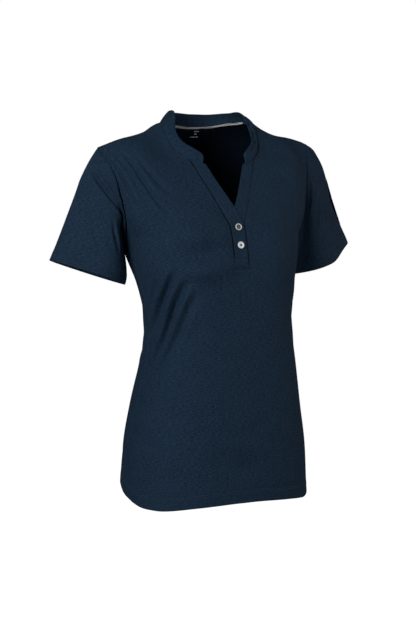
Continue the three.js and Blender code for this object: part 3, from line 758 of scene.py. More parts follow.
def panel_rows(hem_z):
    """Heights and inward steps of the rows below the underarm, for columns with these hems."""
    start = hem_z + HEM_TOP
    rising = start + (BOX_BOTTOM - start) * np.linspace(0, 1, SKIRT_STEPS + 1)[1:, None]
    chest = np.broadcast_to(CHEST_ROWS[:, None], (len(CHEST_ROWS), len(hem_z)))
    z = np.vstack([hem_z + HEM_ABOVE[:, None], rising, chest])
    inward = np.zeros((len(z) + len(YOKE_ROWS), 1))
    inward[: len(HEM_ABOVE), 0] = HEM_INWARD
    return z, inward


NO_FOLDS = {"below": 4, "fading": 14, "wide": 10}  # mm: folds end at the armhole, from the underarm


def worn(points, normals, girth, inward, grooves):
    """Presses hems, folds and seams into a panel; above the underarm folds end at the armhole."""
    across = lengths(points)[0]
    to_side = np.minimum(across, across[:, -1:] - across)
    around, z = girth * HALF_GIRTH, points[..., 2]
    beside_arm = fade((UNDERARM - NO_FOLDS["below"] - z) / NO_FOLDS["fading"])
    free = 1 - beside_arm * fade(to_side / NO_FOLDS["wide"])
    depth = fold_depth(BODY_FOLDS, around, z) * free + unevenness(around, z, *BODY_RIPPLE) * free
    return points - normals * (inward + depth + grooves)[..., None]


print("rows:", BOX_ROW + len(CHEST_ROWS) + len(YOKE_ROWS), "columns of a half:", len(ACROSS))

# %% The front
MIRROR = np.array([-1, 1, 1])
MIDDLE = spread(2 * BOX_HALF_WIDTH, ROW_STEP)[1:-1] / BOX_HALF_WIDTH - 1  # from seam to seam
HALF, WIDE = len(ACROSS), len(MIDDLE)


def chest_point(x, seam):
    """The chest between the placket seams, bridged from seam to seam at the seam's height."""
    y = smooth(CENTRE_FRONT, "y", "z", seam[..., 2])
    y = y + (seam[..., 1] - y) * np.minimum(np.abs(x) / seam[..., 0], 1) ** 2
    return np.stack(np.broadcast_arrays(x, y, seam[..., 2]), -1)


def front_half(side):
    """Places and girths from the placket to a side seam, laid out on the left; side is 1 or -1."""
    angle_above = OPENING_ANGLE + (1 - OPENING_ANGLE) * ACROSS
    at_hem = angle_above + drift(side, MEAN_HEM) * ACROSS
    z, inward = panel_rows(smooth(FRONT_HEM, "z", "girth", side * at_hem))
    inner = angle_at("front", BOX_HALF_WIDTH, z)
    angle = inner + (1 + drift(side, z) - inner) * ACROSS
    place = ring_point("front", np.minimum(angle, 1), z)
    place = np.where(angle[..., None] > 1, ring_point("back", np.minimum(2 - angle, 1), z), place)
    points = np.vstack([place, front_yoke(ACROSS, YOKE_ROWS)])
    return points, np.vstack([angle, np.broadcast_to(angle_above, (len(YOKE_ROWS), HALF))]), inward


def front_grid():
    """Places, girths and inward steps of the whole front, columns from its right to its left."""
    right, right_girth, inward = front_half(-1)
    left, left_girth, inward = front_half(1)
    seam = left[:, :1]
    middle = chest_point(MIDDLE * seam[..., 0], seam)
    low = slice(0, BOX_ROW)
    middle[low] = ring_point("front", np.abs(MIDDLE) * left_girth[low, :1], seam[low, :, 2])
    middle[low, :, 0] *= np.sign(MIDDLE)
    points = raised(np.hstack([right[:, ::-1] * MIRROR, middle, left]))
    girth = np.hstack([-right_girth[:, ::-1], left_girth[:, :1] * MIDDLE, left_girth])
    return points, girth, inward


front_points, front_girth, inward = front_grid()
front_normals = flap_normals(normals_of(front_points))
across, up = lengths(front_points)
from_opening = np.minimum(*(np.abs(across - across[:, [k]]) for k in (HALF - 1, HALF + WIDE)))
from_opening[:BOX_ROW] = FAR
grooves = groove(across, across[:, -1:] - across, up[-1:] - up, from_opening)
front_worn = worn(front_points, front_normals, front_girth, inward, grooves)
for k, depth in enumerate(TURNED_IN):  # along the opening the allowance takes the place of cloth
    for edge, column in ((HALF - 1, HALF + k), (HALF + WIDE, HALF + WIDE - 1 - k)):
        way = front_normals[BOX_ROW:, edge] * depth
        front_worn[BOX_ROW:, column] = front_worn[BOX_ROW:, edge] - way
whole = turned_in(front_worn, front_normals, "top", "left", "right")
keep = np.ones((whole.shape[0] - 1, whole.shape[1] - 1), bool)
first = HALF + 2 * len(TURNED_IN)
keep[BOX_ROW:, first - 1 : first + WIDE - 2 * len(TURNED_IN)] = False
front = sheet_from_grid("front_panel", whole, LEVEL_ROW, keep)
dressed(front, navy, "jersey", "front")

# %% The back


def back_half(side):
    """Places and girths from the centre back to a side seam, laid out on the left."""
    hem_girth = side * ACROSS * (1 - drift(side, MEAN_HEM))
    z, inward = panel_rows(smooth(BACK_HEM, "z", "girth", hem_girth))
    angle = ACROSS * (1 - drift(side, z))
    points = np.vstack([ring_point("back", angle, z), back_yoke(ACROSS, YOKE_ROWS)])
    return points, 2 - np.vstack([angle, np.broadcast_to(ACROSS, (len(YOKE_ROWS), HALF))]), inward


def back_grid():
    """Places, girths and inward steps of the whole back, columns from its right to its left."""
    right, right_girth, inward = back_half(-1)
    left, left_girth, inward = back_half(1)
    points = raised(np.hstack([right[:, :0:-1] * MIRROR, left]))
    points[LEVEL_ROW:] = relaxed(points[LEVEL_ROW:], 60)
    return points, np.hstack([-right_girth[:, :0:-1], left_girth]), inward


back_points, back_girth, inward = back_grid()
back_normals = -flap_normals(normals_of(back_points))
across, up = lengths(back_points)
grooves = groove(across, across[:, -1:] - across, up[-1:] - up)
back_worn = worn(back_points, back_normals, back_girth, inward, grooves)
whole = turned_in(back_worn, back_normals, "top", "left", "right")
back = sheet_from_grid("back_panel", whole, LEVEL_ROW, turned=True)
dressed(back, navy, "jersey", "back")

# %% [markdown]
# ## Sleeves
#
# Short and close, each sleeve falls from the tip of the shoulder and hangs round an arm that is not
# there. It is a tube of columns from the armhole to the hem, with one seam at the underarm.

# %% Sleeves
CUFFS = {  # outer and inner corner, the way to the front, and how the sleeve leaves the shoulder
    "right": ((280, 10, -225), (160, -14, -267), (-4, -31, -2), (0.62, 0, -0.76)),
    "left": ((291, 16, -215), (158, -6, -261), (6, -38, -12), (0.62, 0, -0.32)),
}
ROUND_CUFF = table("out full", (-1, 1), (0, 1), (1, 1))
FLAT_CUFF = table(  # share of an ellipse's fullness, from the inner to the outer corner
    "out full",
    *((-1, 0.5), (-0.8, 0.58), (-0.4, 0.73), (0.1, 0.8), (0.3, 0.72), (0.6, 0.5), (1, 0.18)),
)
OFF_UNDERARM = np.array([0.35, 0, -0.95])
AT_CUFF = np.array([0.4, 0.05, -0.92])
SLEEVE_ROUND = 400  # mm, by which folds are placed; 0 is the underarm seam and 200 the top
SLEEVE_COLUMNS = spread(SLEEVE_ROUND, ROW_STEP)[:-1] / SLEEVE_ROUND
SLEEVE_ROWS, ROW_EASE = 48, 0.92  # rows above the hem, a little closer at the armhole
NO_SLEEVE_FOLDS = 5  # mm below the armhole over which the folds end


def armhole(turn):
    """The armhole from the underarm up the front, over the tip and down the back."""
    return np.where(turn[:, None] <= 0.5, front_armhole(2 * turn), back_armhole(2 - 2 * turn))


def sleeve_grid(outer, inner, front_way, off_shoulder, top_at, cuff_shape, folds):
    """Places of a left sleeve from the inside of its hem up to the armhole, with its folds."""
    turn = SLEEVE_COLUMNS
    outer, inner, front_way = (np.array(v, float) for v in (outer, inner, front_way))
    middle, half = (outer + inner) / 2, (outer - inner) / 2
    cosine, sine = np.cos(2 * np.pi * turn)[:, None], np.sin(2 * np.pi * turn)[:, None]
    sine = sine * smooth(cuff_shape, "full", "out", -cosine)
    cuff, top = middle - half * cosine + front_way * sine, top_at(armhole(turn))
    on_top = np.sin(np.pi * turn)[:, None] ** 2
    leave = OFF_UNDERARM + (np.array(off_shoulder) - OFF_UNDERARM) * on_top
    reach = np.linalg.norm(cuff - top, axis=1)
    rest = spread(1, 1 / SLEEVE_ROWS, fine_start=False, fine_end=False)[1:, None] ** ROW_EASE
    above = np.vstack([HEM_ABOVE[:, None] + 0 * reach, HEM_TOP + (reach - HEM_TOP) * rest])
    leave, arrive = leave * reach[:, None], AT_CUFF * reach[:, None]
    points = hermite(top, leave, cuff, arrive, 1 - (above / reach)[..., None])
    normals = flap_normals(normals_of(points, closed=True))
    inward = np.zeros((len(points), 1))
    inward[: len(HEM_ABOVE), 0] = HEM_INWARD
    around, up = turn * SLEEVE_ROUND, lengths(points)[1]
    below = up[-1:] - up
    depth = fold_depth(folds, around, above) + unevenness(around, above, *SLEEVE_RIPPLE)
    depth = depth * (1 - fade(below / NO_SLEEVE_FOLDS))
    from_seam = np.minimum(around, SLEEVE_ROUND - around) + 0 * above
    worn_points = points - normals * (inward + depth + groove(from_seam, below))[..., None]
    return turned_in(worn_points, normals, "top"), worn_points, normals


RIGHT_FOLDS = table(
    FOLD,
    (184, 158, 142, 134, 82, 110, 3.2, 8.0),
    (108, 121, 64, 110, 14, 96, 4.5, 5.5),
    (104, 150, 98, 60, 94, -50, 26.0, -4.5),
    (36, 140, 30, 60, 34, -40, 26.0, 8.0),
    (98, 92, 84, 66, 68, 38, 4.4, 3.6),
    (136, 68, 122, 54, 107, 38, 3.0, 2.6),
    (192, 152, 172, 115, 150, 70, 11.0, -1.5),
    (200, 130, 200, 60, 200, -40, 30.0, 2.5),
    (300, 150, 330, 120, 372, 90, 6.0, 3.0),
    (260, 150, 290, 110, 330, 60, 9.0, 2.4),
)
LEFT_FOLDS = table(
    FOLD,
    (160, 188, 132, 170, 106, 148, 2.8, -2.0),
    (130, 142, 104, 118, 80, 92, 2.8, -2.4),
    (136, 106, 114, 84, 92, 60, 2.8, -2.4),
    (150, 84, 130, 60, 106, 14, 3.4, -2.2),
    (120, 84, 200, 74, 272, 84, 40.0, 4.6),
    (140, 168, 200, 176, 250, 168, 12.0, -0.8),
    (96, 150, 66, 110, 50, 0, 14.0, 4.0),
    (300, 150, 330, 120, 372, 90, 6.0, 3.0),
    (260, 150, 290, 110, 330, 60, 9.0, 2.4),
)
right_grid, right_worn, right_normals = sleeve_grid(
    *CUFFS["right"], lambda places: places, ROUND_CUFF, RIGHT_FOLDS
)
left_grid, left_worn, left_normals = sleeve_grid(*CUFFS["left"], raised, FLAT_CUFF, LEFT_FOLDS)
sleeve_right = sheet_from_grid("right_sleeve", right_grid * MIRROR, closed=True, turned=True)
sleeve_left = sheet_from_grid("left_sleeve", left_grid, closed=True)
dressed(sleeve_right, navy, "jersey", "sleeve_right")
dressed(sleeve_left, navy, "jersey", "sleeve_left")

# %% [markdown]
# ## Soft doubled cloth
#
# The collar band, the placket strips and the neck tape are two layers sewn together, so they have a
# thickness that one sees, and edges that are round and soft. Each is a closed form: the same grid
# twice, pushed apart by a profile that rounds down to nothing at the edges.

# %% Pillows
FINE_STEPS, MEETING = np.array([0, 0.12, 0.35, 0.65, 1.0, 1.6, 2.6]), 0.2  # mm


def fine_ends(length, step):
    """Places from 0 to 1 along a length in mm, very fine at both ends for a round edge."""
    fine = FINE_STEPS[FINE_STEPS < length / 2 - MEETING]
    middle = np.linspace(fine[-1], length - fine[-1], max(3, round(length / step)))
    return np.concatenate([fine, middle[1:-1], length - fine[::-1]]) / length


def pillow(name, middle, thickness, outside, relief=0):
    """A closed soft band round a grid; "outside" turns its normals, relief sinks its outer face."""
    normals = normals_of(middle) * outside
    across, up = lengths(middle)
    edge = np.minimum.reduce([across, across[:, -1:] - across, up, up[-1:] - up])
    edge = np.clip(edge / (thickness / 2), 0, 1)
    half = np.sqrt(1 - (1 - edge) ** 2)[..., None] * thickness / 2
    inside = edge[..., None] * np.broadcast_to(relief, edge.shape)[..., None]
    faces = np.stack([middle + normals * (half - inside), middle - normals * half])
    rows, columns = edge.shape
    quads, places = grid_quads(rows, columns)
    number = np.arange(rows * columns).reshape(rows, columns)
    below = number + rows * columns
    below[[0, -1]], below[:, [0, -1]] = number[[0, -1]], number[:, [0, -1]]
    inner = below.ravel()[quads][..., ::-1]
    quads, places = np.stack([quads, inner]), np.stack([places, places[..., ::-1]])
    if outside < 0:
        quads, places = quads[..., ::-1], places[..., ::-1]
    uv = cloth_places(middle).reshape(-1, 2)[places.reshape(-1, 4)]
    return mesh_object(name, faces, quads.reshape(-1, 4), uv), middle + normals * half


# %% [markdown]
# ## Collar band
#
# The band stands up round the neck and ends in two round tongues above the placket. Its outer face
# is a little crowned. Inside, at the back, the two layers are quilted by three rows of stitches,
# and on the wearer's left the band leans over and makes a small fold.

# %% Collar band
COLLAR = table(
    "turn x y z top_x top_y top_z",
    (0.00, 0, 66, -17, 0, 60, 7),
    (0.18, 36, 58, -14, 33, 53, 9),
    (0.37, 68, 32, -7, 58.5, 31, 12),
    (0.56, 85, -5, -6.5, 66, -4, 10.5),
    (0.68, 86, -19, -27, 70, -21, -20),
    (0.78, 81, -32, -46, 65, -36, -37),
    (0.86, 72, -42, -57, 53, -47, -47),
    (0.93, 59, -51, -67, 41, -54, -55.5),
    (1.00, 40, -58.5, -74, 38, -56.5, -60.5),
)
TOP_SHIFT = table(  # how the top edge lies differently on the two sides, right to left
    "turn x z",
    *((-1, 0, 0), (-0.7, 0.5, 0), (-0.56, 4, -0.5), (-0.37, 4, 0), (-0.18, 1.5, 1.5), (0, 0, 1)),
    *((0.18, 0, -1.5), (0.37, -1, -2.5), (0.56, -1.5, -2.5), (0.7, 0, 0), (1, 0, 0)),
)
BAND_LENGTH, BAND_HEIGHT, BAND_THICK = 420, 24, 2.2
TURNS = 2 * fine_ends(BAND_LENGTH, 2.4) - 1
RISES = 1.05 * fine_ends(BAND_HEIGHT, 1.3) - 0.05
CROWN, BAND_BACK = 1.1, 0.5  # mm: how much its middle bulges, and how far it stands back in all
QUILTS, QUILT_WIDE, QUILT_PROUD, QUILT_REACH = (0.3, 0.55, 0.8), 0.035, 0.35, 0.55
LAP = {"more": 0.07, "at": 0.43, "wide": 0.1}  # the band reaches further down over the back there
LEFT_ROLL = {"from": 0.52, "to": 0.95, "rise": 0.66, "wide": 0.11, "deep": 3.2}
ROLL_WAVES, ROLL_WAVE, ROLL_TAPER = 9, 0.10, 0.6  # the roll's line wanders up and down
LEFT_PINCH = {"turn": 0.735, "wide": 0.012, "rise": 0.5, "high": 0.35, "deep": 0.9}
RIGHT_HOLLOW = {"turn": -0.55, "wide": 0.08, "deep": 2.0}  # where the band turns over the shoulder
END_WRINKLES = {"turn": 0.955, "wide": 0.03, "deep": 0.35, "by_turn": 95, "by_rise": 5}
BAND_SEAM, BAND_SEAM_WIDE, BAND_SEAM_DEEP = 0.02, 0.05, (0.5, 1.1)  # all round, more at the front
FRONT_SEAM, FRONT_SEAM_WIDE = 0.8, 0.26


def collar_place(turn, rise):
    """Places on the band; turn is 0 at the centre back and 1 and -1 at its left and right end."""
    base, top = (
        np.stack([smooth(COLLAR, mark + axis, "turn", np.abs(turn)) for axis in "xyz"], -1)
        for mark in ("", "top_")
    )
    place = base + (top - base) * rise[..., None]
    place[..., 0] *= np.sign(turn)
    for axis, name in ((0, "x"), (2, "z")):
        place[..., axis] += smooth(TOP_SHIFT, name, "turn", turn) * np.clip(rise, 0, 1)
    return place


turn, rise = np.meshgrid(TURNS, RISES)
height, ahead = np.clip(rise, 0, 1), np.abs(turn)
arch = np.sin(np.pi * height)
band = collar_place(turn, rise - LAP["more"] * ridge(turn, LAP["at"], LAP["wide"]) * (1 - height))
quilting = sum(ridge(rise, line, QUILT_WIDE) for line in QUILTS) * fade(ahead / QUILT_REACH)
outwards = CROWN * arch - BAND_BACK + QUILT_PROUD * quilting
band = band - normals_of(band) * outwards[..., None]

along_roll = np.clip((turn - LEFT_ROLL["from"]) / (LEFT_ROLL["to"] - LEFT_ROLL["from"]), 0, 1)
roll_rise = LEFT_ROLL["rise"] + ROLL_WAVE * np.sin(ROLL_WAVES * np.pi * along_roll)
press = LEFT_ROLL["deep"] * np.sin(np.pi * along_roll) ** ROLL_TAPER
press = press * ridge(rise, roll_rise, LEFT_ROLL["wide"])
pinch = ridge(turn, LEFT_PINCH["turn"], LEFT_PINCH["wide"])
pinch = pinch * ridge(rise, LEFT_PINCH["rise"], LEFT_PINCH["high"])
hollow = ridge(turn, RIGHT_HOLLOW["turn"], RIGHT_HOLLOW["wide"]) * arch
press = press + LEFT_PINCH["deep"] * pinch + RIGHT_HOLLOW["deep"] * hollow
wrinkles = np.sin(turn * END_WRINKLES["by_turn"] + rise * END_WRINKLES["by_rise"])
wrinkles = wrinkles * ridge(ahead, END_WRINKLES["turn"], END_WRINKLES["wide"])
press = press + END_WRINKLES["deep"] * wrinkles
press = press + unevenness(turn * BAND_LENGTH / 2, rise * BAND_HEIGHT, *BAND_RIPPLE)
all_round, at_front = BAND_SEAM_DEEP
seam_deep = all_round + at_front * fade(np.abs(ahead - FRONT_SEAM) / FRONT_SEAM_WIDE)
press = press + seam_deep * ridge(rise, BAND_SEAM, BAND_SEAM_WIDE)
collar = pillow("neck_band_jersey", band, BAND_THICK, -1, press)[0]
dressed(collar, navy, "jersey", "collar_band")

# %% [markdown]
# ## Placket
#
# Two doubled strips edge the opening and cross over below it. The wearer's right one lies on top,
# ends square under the buttons and is stitched down along its lower end.

# %% Placket
STRIP_EDGE = table(
    "z lap",
    *((-74, 35.5), (-100, 23), (-131, 7), (-143, 0), (-156, -7), (-170, -11), (-235, -11.4)),
)
STRIP_TOP, STRIP_THICK = -67, 1.5
STRIP_UP, STRIP_ACROSS = fine_ends(168, 2.4), fine_ends(23, 1.3)
OVER_OUT, UNDER_OUT, OVER_LAP = STRIP_THICK + 0.9, 0.6, 1  # mm off the chest, and past its seam
OVER_BOTTOM = BOX_BOTTOM - 5
BUTTON_HEIGHTS = (-175, -203.5)
BUTTON_PULL, BUTTON_PULL_WIDE = 1.1, 6.6  # mm: the cloth is drawn in under the buttons
EDGE_ROW, EDGE_PRESS, EDGE_WIDE = 2.0, 0.25, 0.6  # mm: the stitched row along a strip's free edge
BOX_STITCH = 12  # mm above the lower end of the over strip
LOWER_PRESSES = ((BOX_STITCH, 0.6, 0.35), (1.3, 0.65, 1.4))  # its height, width and depth
seam_places = opening_seam(np.linspace(0, 1, 600))


def opening_seam_at(z):
    """The place of the opening's seam at a height, above and below the underarm."""
    low = ring_point("front", angle_at("front", BOX_HALF_WIDTH, z), z)
    high = np.stack([np.interp(z, seam_places[:, 2], seam_places[:, k]) for k in (0, 1)], -1)
    high = np.concatenate([high, z[..., None]], -1)
    return np.where(z[..., None] <= UNDERARM, low, high)


def strip_grid(side, outward, seam_lap, bottom):
    """The middle of a strip from its lower end up; columns run from the wearer's right to left."""
    seam_z = bottom + (STRIP_TOP - bottom) * STRIP_UP[:, None]
    edge_z = bottom + (STRIP_EDGE["z"].max() - bottom) * STRIP_UP[:, None]
    share = STRIP_ACROSS[None]
    seam_x = opening_seam_at(seam_z)[..., 0] + seam_lap
    x = seam_x + (smooth(STRIP_EDGE, "lap", "z", edge_z) - seam_x) * share
    place = chest_point(x, opening_seam_at(seam_z + (edge_z - seam_z) * share))
    place[..., 0] *= side
    if side > 0:
        place = place[:, ::-1]
    return place + normals_of(place) * (outward - STRIP_THICK / 2)


def strip(name, grid, from_edge, presses=()):
    """A strip as a soft piece: its stitched rows, its buttons and some unevenness press it in."""
    press = EDGE_PRESS * ridge(from_edge, EDGE_ROW, EDGE_WIDE)
    for above, wide, deep in presses:
        press = press + deep * ridge(lengths(grid)[1], above, wide)
    for height in BUTTON_HEIGHTS:
        off = np.hypot(grid[..., 0], grid[..., 2] - height)
        press = press + BUTTON_PULL * ridge(off, 0, BUTTON_PULL_WIDE)
    press = press + unevenness(grid[..., 0], grid[..., 2], *STRIP_RIPPLE)
    return pillow(name, grid, STRIP_THICK, 1, press)


over_grid = strip_grid(-1, OVER_OUT, OVER_LAP, OVER_BOTTOM)
under_grid = strip_grid(1, UNDER_OUT, 0, BOX_BOTTOM)
over_across, under_across = lengths(over_grid)[0], lengths(under_grid)[0]
under_across = under_across[:, -1:] - under_across
over, over_outer = strip("placket_over_strip", over_grid, over_across, LOWER_PRESSES)
under, under_outer = strip("placket_under_strip", under_grid, under_across)
dressed(over, navy, "jersey", "placket_over")
dressed(under, navy, "jersey", "placket_under")

# %% [markdown]
# ## Neck tape and printed bars
#
# A narrow greige twill tape covers the seam between the back and the band. Below it, inside the
# back, the maker prints a few small rows; here they are three plain bars.

# %% Neck tape
TAPE_REACH, TAPE_RISES, TAPE_TILT = 0.47, (0.0, 0.145), -0.38
TAPE_SEWN, TAPE_SEWN_DEEP, TAPE_SEWN_WIDE = (0.03, 0.115), 0.12, 0.012  # its rows of stitches
TAPE_LENGTH, TAPE_WIDTH, TAPE_THICK = 220, 4.6, 0.9  # mm
TAPE_OFF, TAPE_TUCK, TUCK_SHARE = 2.6, 1.4, 0.03  # mm off the band, less so at the tucked ends
LOWEST_RISE = 0.02  # below it the tape goes on straight down
RIB = 0.8  # mm from rib to rib of the twill


def twill(name, dark, pale):
    nodes = Nodes(name, Roughness=0.8, Specular_IOR_Level=0.2, Sheen_Weight=0.05)
    across, up = nodes.axes()
    slant = nodes.weighted((across, 1), (up, 1.4))
    ribs = nodes.math("SINE", nodes.math("MULTIPLY", slant, 2 * np.pi / (RIB * MM)))
    height = nodes.weighted((nodes.ramp(ribs, -1, 1, 0, 0.6), 1), (nodes.noise(500, 500), 0.4))
    color = nodes.mix(nodes.ramp(height, 0.15, 0.85), dark, pale)
    return nodes.finish(color, height, 0.15)


greige = twill("greige twill", (0.36, 0.34, 0.32, 1), (0.66, 0.63, 0.59, 1))
tape_turns = (2 * fine_ends(TAPE_LENGTH, 2.4) - 1) * TAPE_REACH
tape_rises = TAPE_RISES[0] + np.diff(TAPE_RISES) * fine_ends(TAPE_WIDTH, 0.6)
turn, rise = np.meshgrid(tape_turns, tape_rises)
tilted = rise + TAPE_TILT * turn
tape_grid = collar_place(turn, np.maximum(tilted, LOWEST_RISE))
tape_grid[..., 2] += np.minimum(tilted - LOWEST_RISE, 0) * BAND_HEIGHT
tucked = fade((TAPE_REACH - np.abs(turn)) / TUCK_SHARE)
tape_grid = tape_grid + normals_of(tape_grid) * (TAPE_OFF - TAPE_TUCK * tucked)[..., None]
tape_press = TAPE_SEWN_DEEP * sum(ridge(rise, edge, TAPE_SEWN_WIDE) for edge in TAPE_SEWN)
tape, tape_outer = pillow("neck_tape_twill", tape_grid, TAPE_THICK, 1, tape_press)
dressed(tape, greige, "tape", "neck_tape")

# %% Printed bars
BARS = ((17.8, -21.0, 9, 1.5), (16.6, -25.4, 5, 1.7), (15.2, -30.2, 15, 1.4))  # x, z, width, height
AROUND_BARS = {"x": 16, "z": -25, "wide": 30, "high": 25}  # mm: the cloth that they are fitted to
FILM, FILM_OFF, UNDER_FILM = 0.06, 0.15, 0.12  # mm: thickness, and places off the cloth


def print_ink():
    nodes = Nodes("pale print", Roughness=0.6, Specular_IOR_Level=0.3)
    worn_off = nodes.noise(1500, 1500)
    color = nodes.mix(nodes.ramp(worn_off, 0.3, 0.7), (0.62, 0.64, 0.66, 1), (0.88, 0.90, 0.92, 1))
    return nodes.finish(color, worn_off, 0.05)


inner_back = (back_worn - back_normals * (JERSEY + UNDER_FILM)).reshape(-1, 3)
beside = np.abs(inner_back[:, 0] - AROUND_BARS["x"]) < AROUND_BARS["wide"]
level = np.abs(inner_back[:, 2] - AROUND_BARS["z"]) < AROUND_BARS["high"]
near_bars = inner_back[beside & level]


def on_inner_back(x, z):
    """Places on the inner face of the back: y is fitted to the cloth around by a smooth surface."""
    def terms(x, z):
        return np.stack([np.ones_like(x), x, z, x * x, x * z, z * z, x**3, z**3], -1)

    near_x, near_y, near_z = near_bars.T
    factors = np.linalg.lstsq(terms(near_x, near_z), near_y, rcond=None)[0]
    return np.stack([x, terms(x, z) @ factors - FILM_OFF, z], -1)


bars = []
for x, z, width, height in BARS:
    grid_x, grid_z = np.meshgrid(
        x + width * (fine_ends(width, 1.0) - 0.5), z + height * (np.linspace(0, 1, 5) - 0.5)
    )
    grid = on_inner_back(grid_x, grid_z)
    bars.append(sheet_from_grid(f"print_bar_{len(bars) + 1}", grid, thickness=FILM))
ink = print_ink()
for bar in bars:
    dressed(bar, ink, "tape")

# %% [markdown]
# ## Buttons
#
# Each button is turned from pearly resin: a rounded rim, a shallow dish and four holes, from which
# two bars of thread come up. The upper one is greyer in its dish than the lower one. A button could
# be a plain lathe form with the holes cut through; here a height over a round grid sinks four deep
# hollows, which look the same and need no cut.

# %% Buttons
BUTTON_RADIUS, BUTTON_STAND = 5.8, STRIP_THICK + 0.8
BUTTON_PROFILE = table(
    "r h",
    *((0, 1.72), (1.6, 1.70), (2.9, 1.74), (3.7, 1.86), (4.15, 2.2), (4.5, 2.5), (4.9, 2.6)),
    *((5.3, 2.52), (5.62, 2.2), (5.78, 1.7), (5.8, 1.3), (5.72, 0.8), (5.4, 0.25), (4.9, 0.0)),
)
HOLES, HOLE_OUT, HOLE_FLOOR, HOLE_WALL, HOLE_DEEP = 4, 1.25, 0.35, 0.25, 1.3
DISH_EDGE, DISH_ROWS, RIM_ROWS, BUTTON_SIDES = 2.9, 40, 36, 96


def button_grid():
    """A closed button as rings of places, from the middle of its face over its rim to its back."""
    r, h = BUTTON_PROFILE["r"], BUTTON_PROFILE["h"]
    dish = np.linspace(0, 1, DISH_ROWS) * 3.5
    dish = dish[dish < DISH_EDGE]
    steps = np.concatenate([[0], np.cumsum(np.hypot(np.diff(r[2:]), np.diff(h[2:])))])
    share = np.linspace(0, steps[-1], RIM_ROWS)
    radius = np.concatenate([dish, np.interp(share, steps, r[2:]), [0.01]])
    height = np.concatenate([np.interp(dish, r[:3], h[:3]), np.interp(share, steps, h[2:]), [0.0]])
    turn = np.linspace(0, 2 * np.pi, BUTTON_SIDES + 1)[:-1]
    x, y = radius[:, None] * np.cos(turn), radius[:, None] * np.sin(turn)
    z = np.repeat(height[:, None], len(turn), 1)
    for angle in 2 * np.pi * (np.arange(HOLES) + 0.5) / HOLES:
        off = np.hypot(x - HOLE_OUT * np.cos(angle), y - HOLE_OUT * np.sin(angle))[: len(dish)]
        z[: len(dish)] -= HOLE_DEEP * fade((off - HOLE_FLOOR) / HOLE_WALL)
    return np.stack([x, y, z], -1)


def pearl(name, rim, dish, middle):
    """Pearly resin whose colour depends on the distance from the middle of the button."""
    nodes = Nodes(name, Roughness=0.28, Specular_IOR_Level=0.5, Coat_Weight=0.3)
    nodes.shader.inputs["Coat Roughness"].default_value = 0.15
    squares = [nodes.math("POWER", part, 2.0) for part in nodes.axes()]
    far = nodes.math("SQRT", nodes.math("ADD", *squares))
    sheen = nodes.noise(260, 420, 3.0)
    # The middle's colour covers the four holes; on the white button its dark middle is partly
    # painted shade of the holes.
    inside = nodes.mix(nodes.ramp(far, 1.6 * MM, 2.4 * MM), middle, dish)
    color = nodes.mix(nodes.ramp(far, 3.5 * MM, 4.1 * MM), inside, rim)
    veined = nodes.mix(nodes.ramp(sheen, 0.35, 0.65, 0.0, 0.12), color, (0.62, 0.60, 0.58, 1))
    return nodes.finish(veined, sheen, 0.05, 0.4)


def button_frame(z):
    """The middle of a button's back and the way its face looks, on the over strip."""
    heights = (np.array([h]) for h in (z, z + BUTTON_RADIUS))
    foot, above = (chest_point(np.zeros(1), opening_seam_at(height))[0] for height in heights)
    up = (above - foot) / np.linalg.norm(above - foot)
    out = np.cross([1, 0, 0], up)
    return foot + out * BUTTON_STAND, np.array([[1, 0, 0], up, out])


def sewn_button(name, z, material, node):
    grid = button_grid()
    place, axes = button_frame(z)
    quads, places = grid_quads(*grid.shape[:2], closed=True)
    around = np.concatenate([grid, grid[:, :1]], axis=1)[..., :2]
    uv = around.reshape(-1, 2)[places.reshape(-1, 4)]
    quads, uv = quads.reshape(-1, 4)[:, ::-1], uv[:, ::-1]
    thing = mesh_object(name, grid @ axes + place, quads, uv)
    return dressed(thing, material, "button", node)


smoky = pearl("smoky pearl", (0.70, 0.67, 0.62, 1), (0.045, 0.044, 0.046, 1), (0.16, 0.16, 0.16, 1))
# The white button's near-black middle stands for its four holes: partly the navy thread's own
# colour, partly painted shade in the holes.
white = pearl("white pearl", (0.93, 0.92, 0.90, 1), (0.90, 0.90, 0.88, 1), (0.05, 0.05, 0.055, 1))
upper = sewn_button("upper_button", BUTTON_HEIGHTS[0], smoky, "button_upper")
lower = sewn_button("lower_button", BUTTON_HEIGHTS[1], white, "button_lower")

# %% [markdown]
# ## Stitches
#
# Topstitching is what one sees first at a hem: two rows of short raised threads, each pulled into
# the cloth at its ends. Every stitch here is a small tapered thread of its own, and the threads of
# a row are joined into one piece.

# %% Stitches
STITCH, STITCH_GAP, THREAD = 2.5, 0.8, 0.22  # mm: length, gap and radius
STITCH_RINGS = table(  # from end to end: share of the length and of the radius, mm off the cloth
    "share thick lift",
    *((0, 0.25, -0.15), (0.15, 0.9, 0.06), (0.5, 1, 0.16), (0.85, 0.9, 0.06), (1, 0.25, -0.15)),
)
THREAD_SIDES = 5
ON_HEM, ON_STRIP = 0.05, 0.02  # mm that the middle of a row's thread lies off the cloth
UNDER_FROM = 30  # the row of the under strip at which its stitches come out from under the other


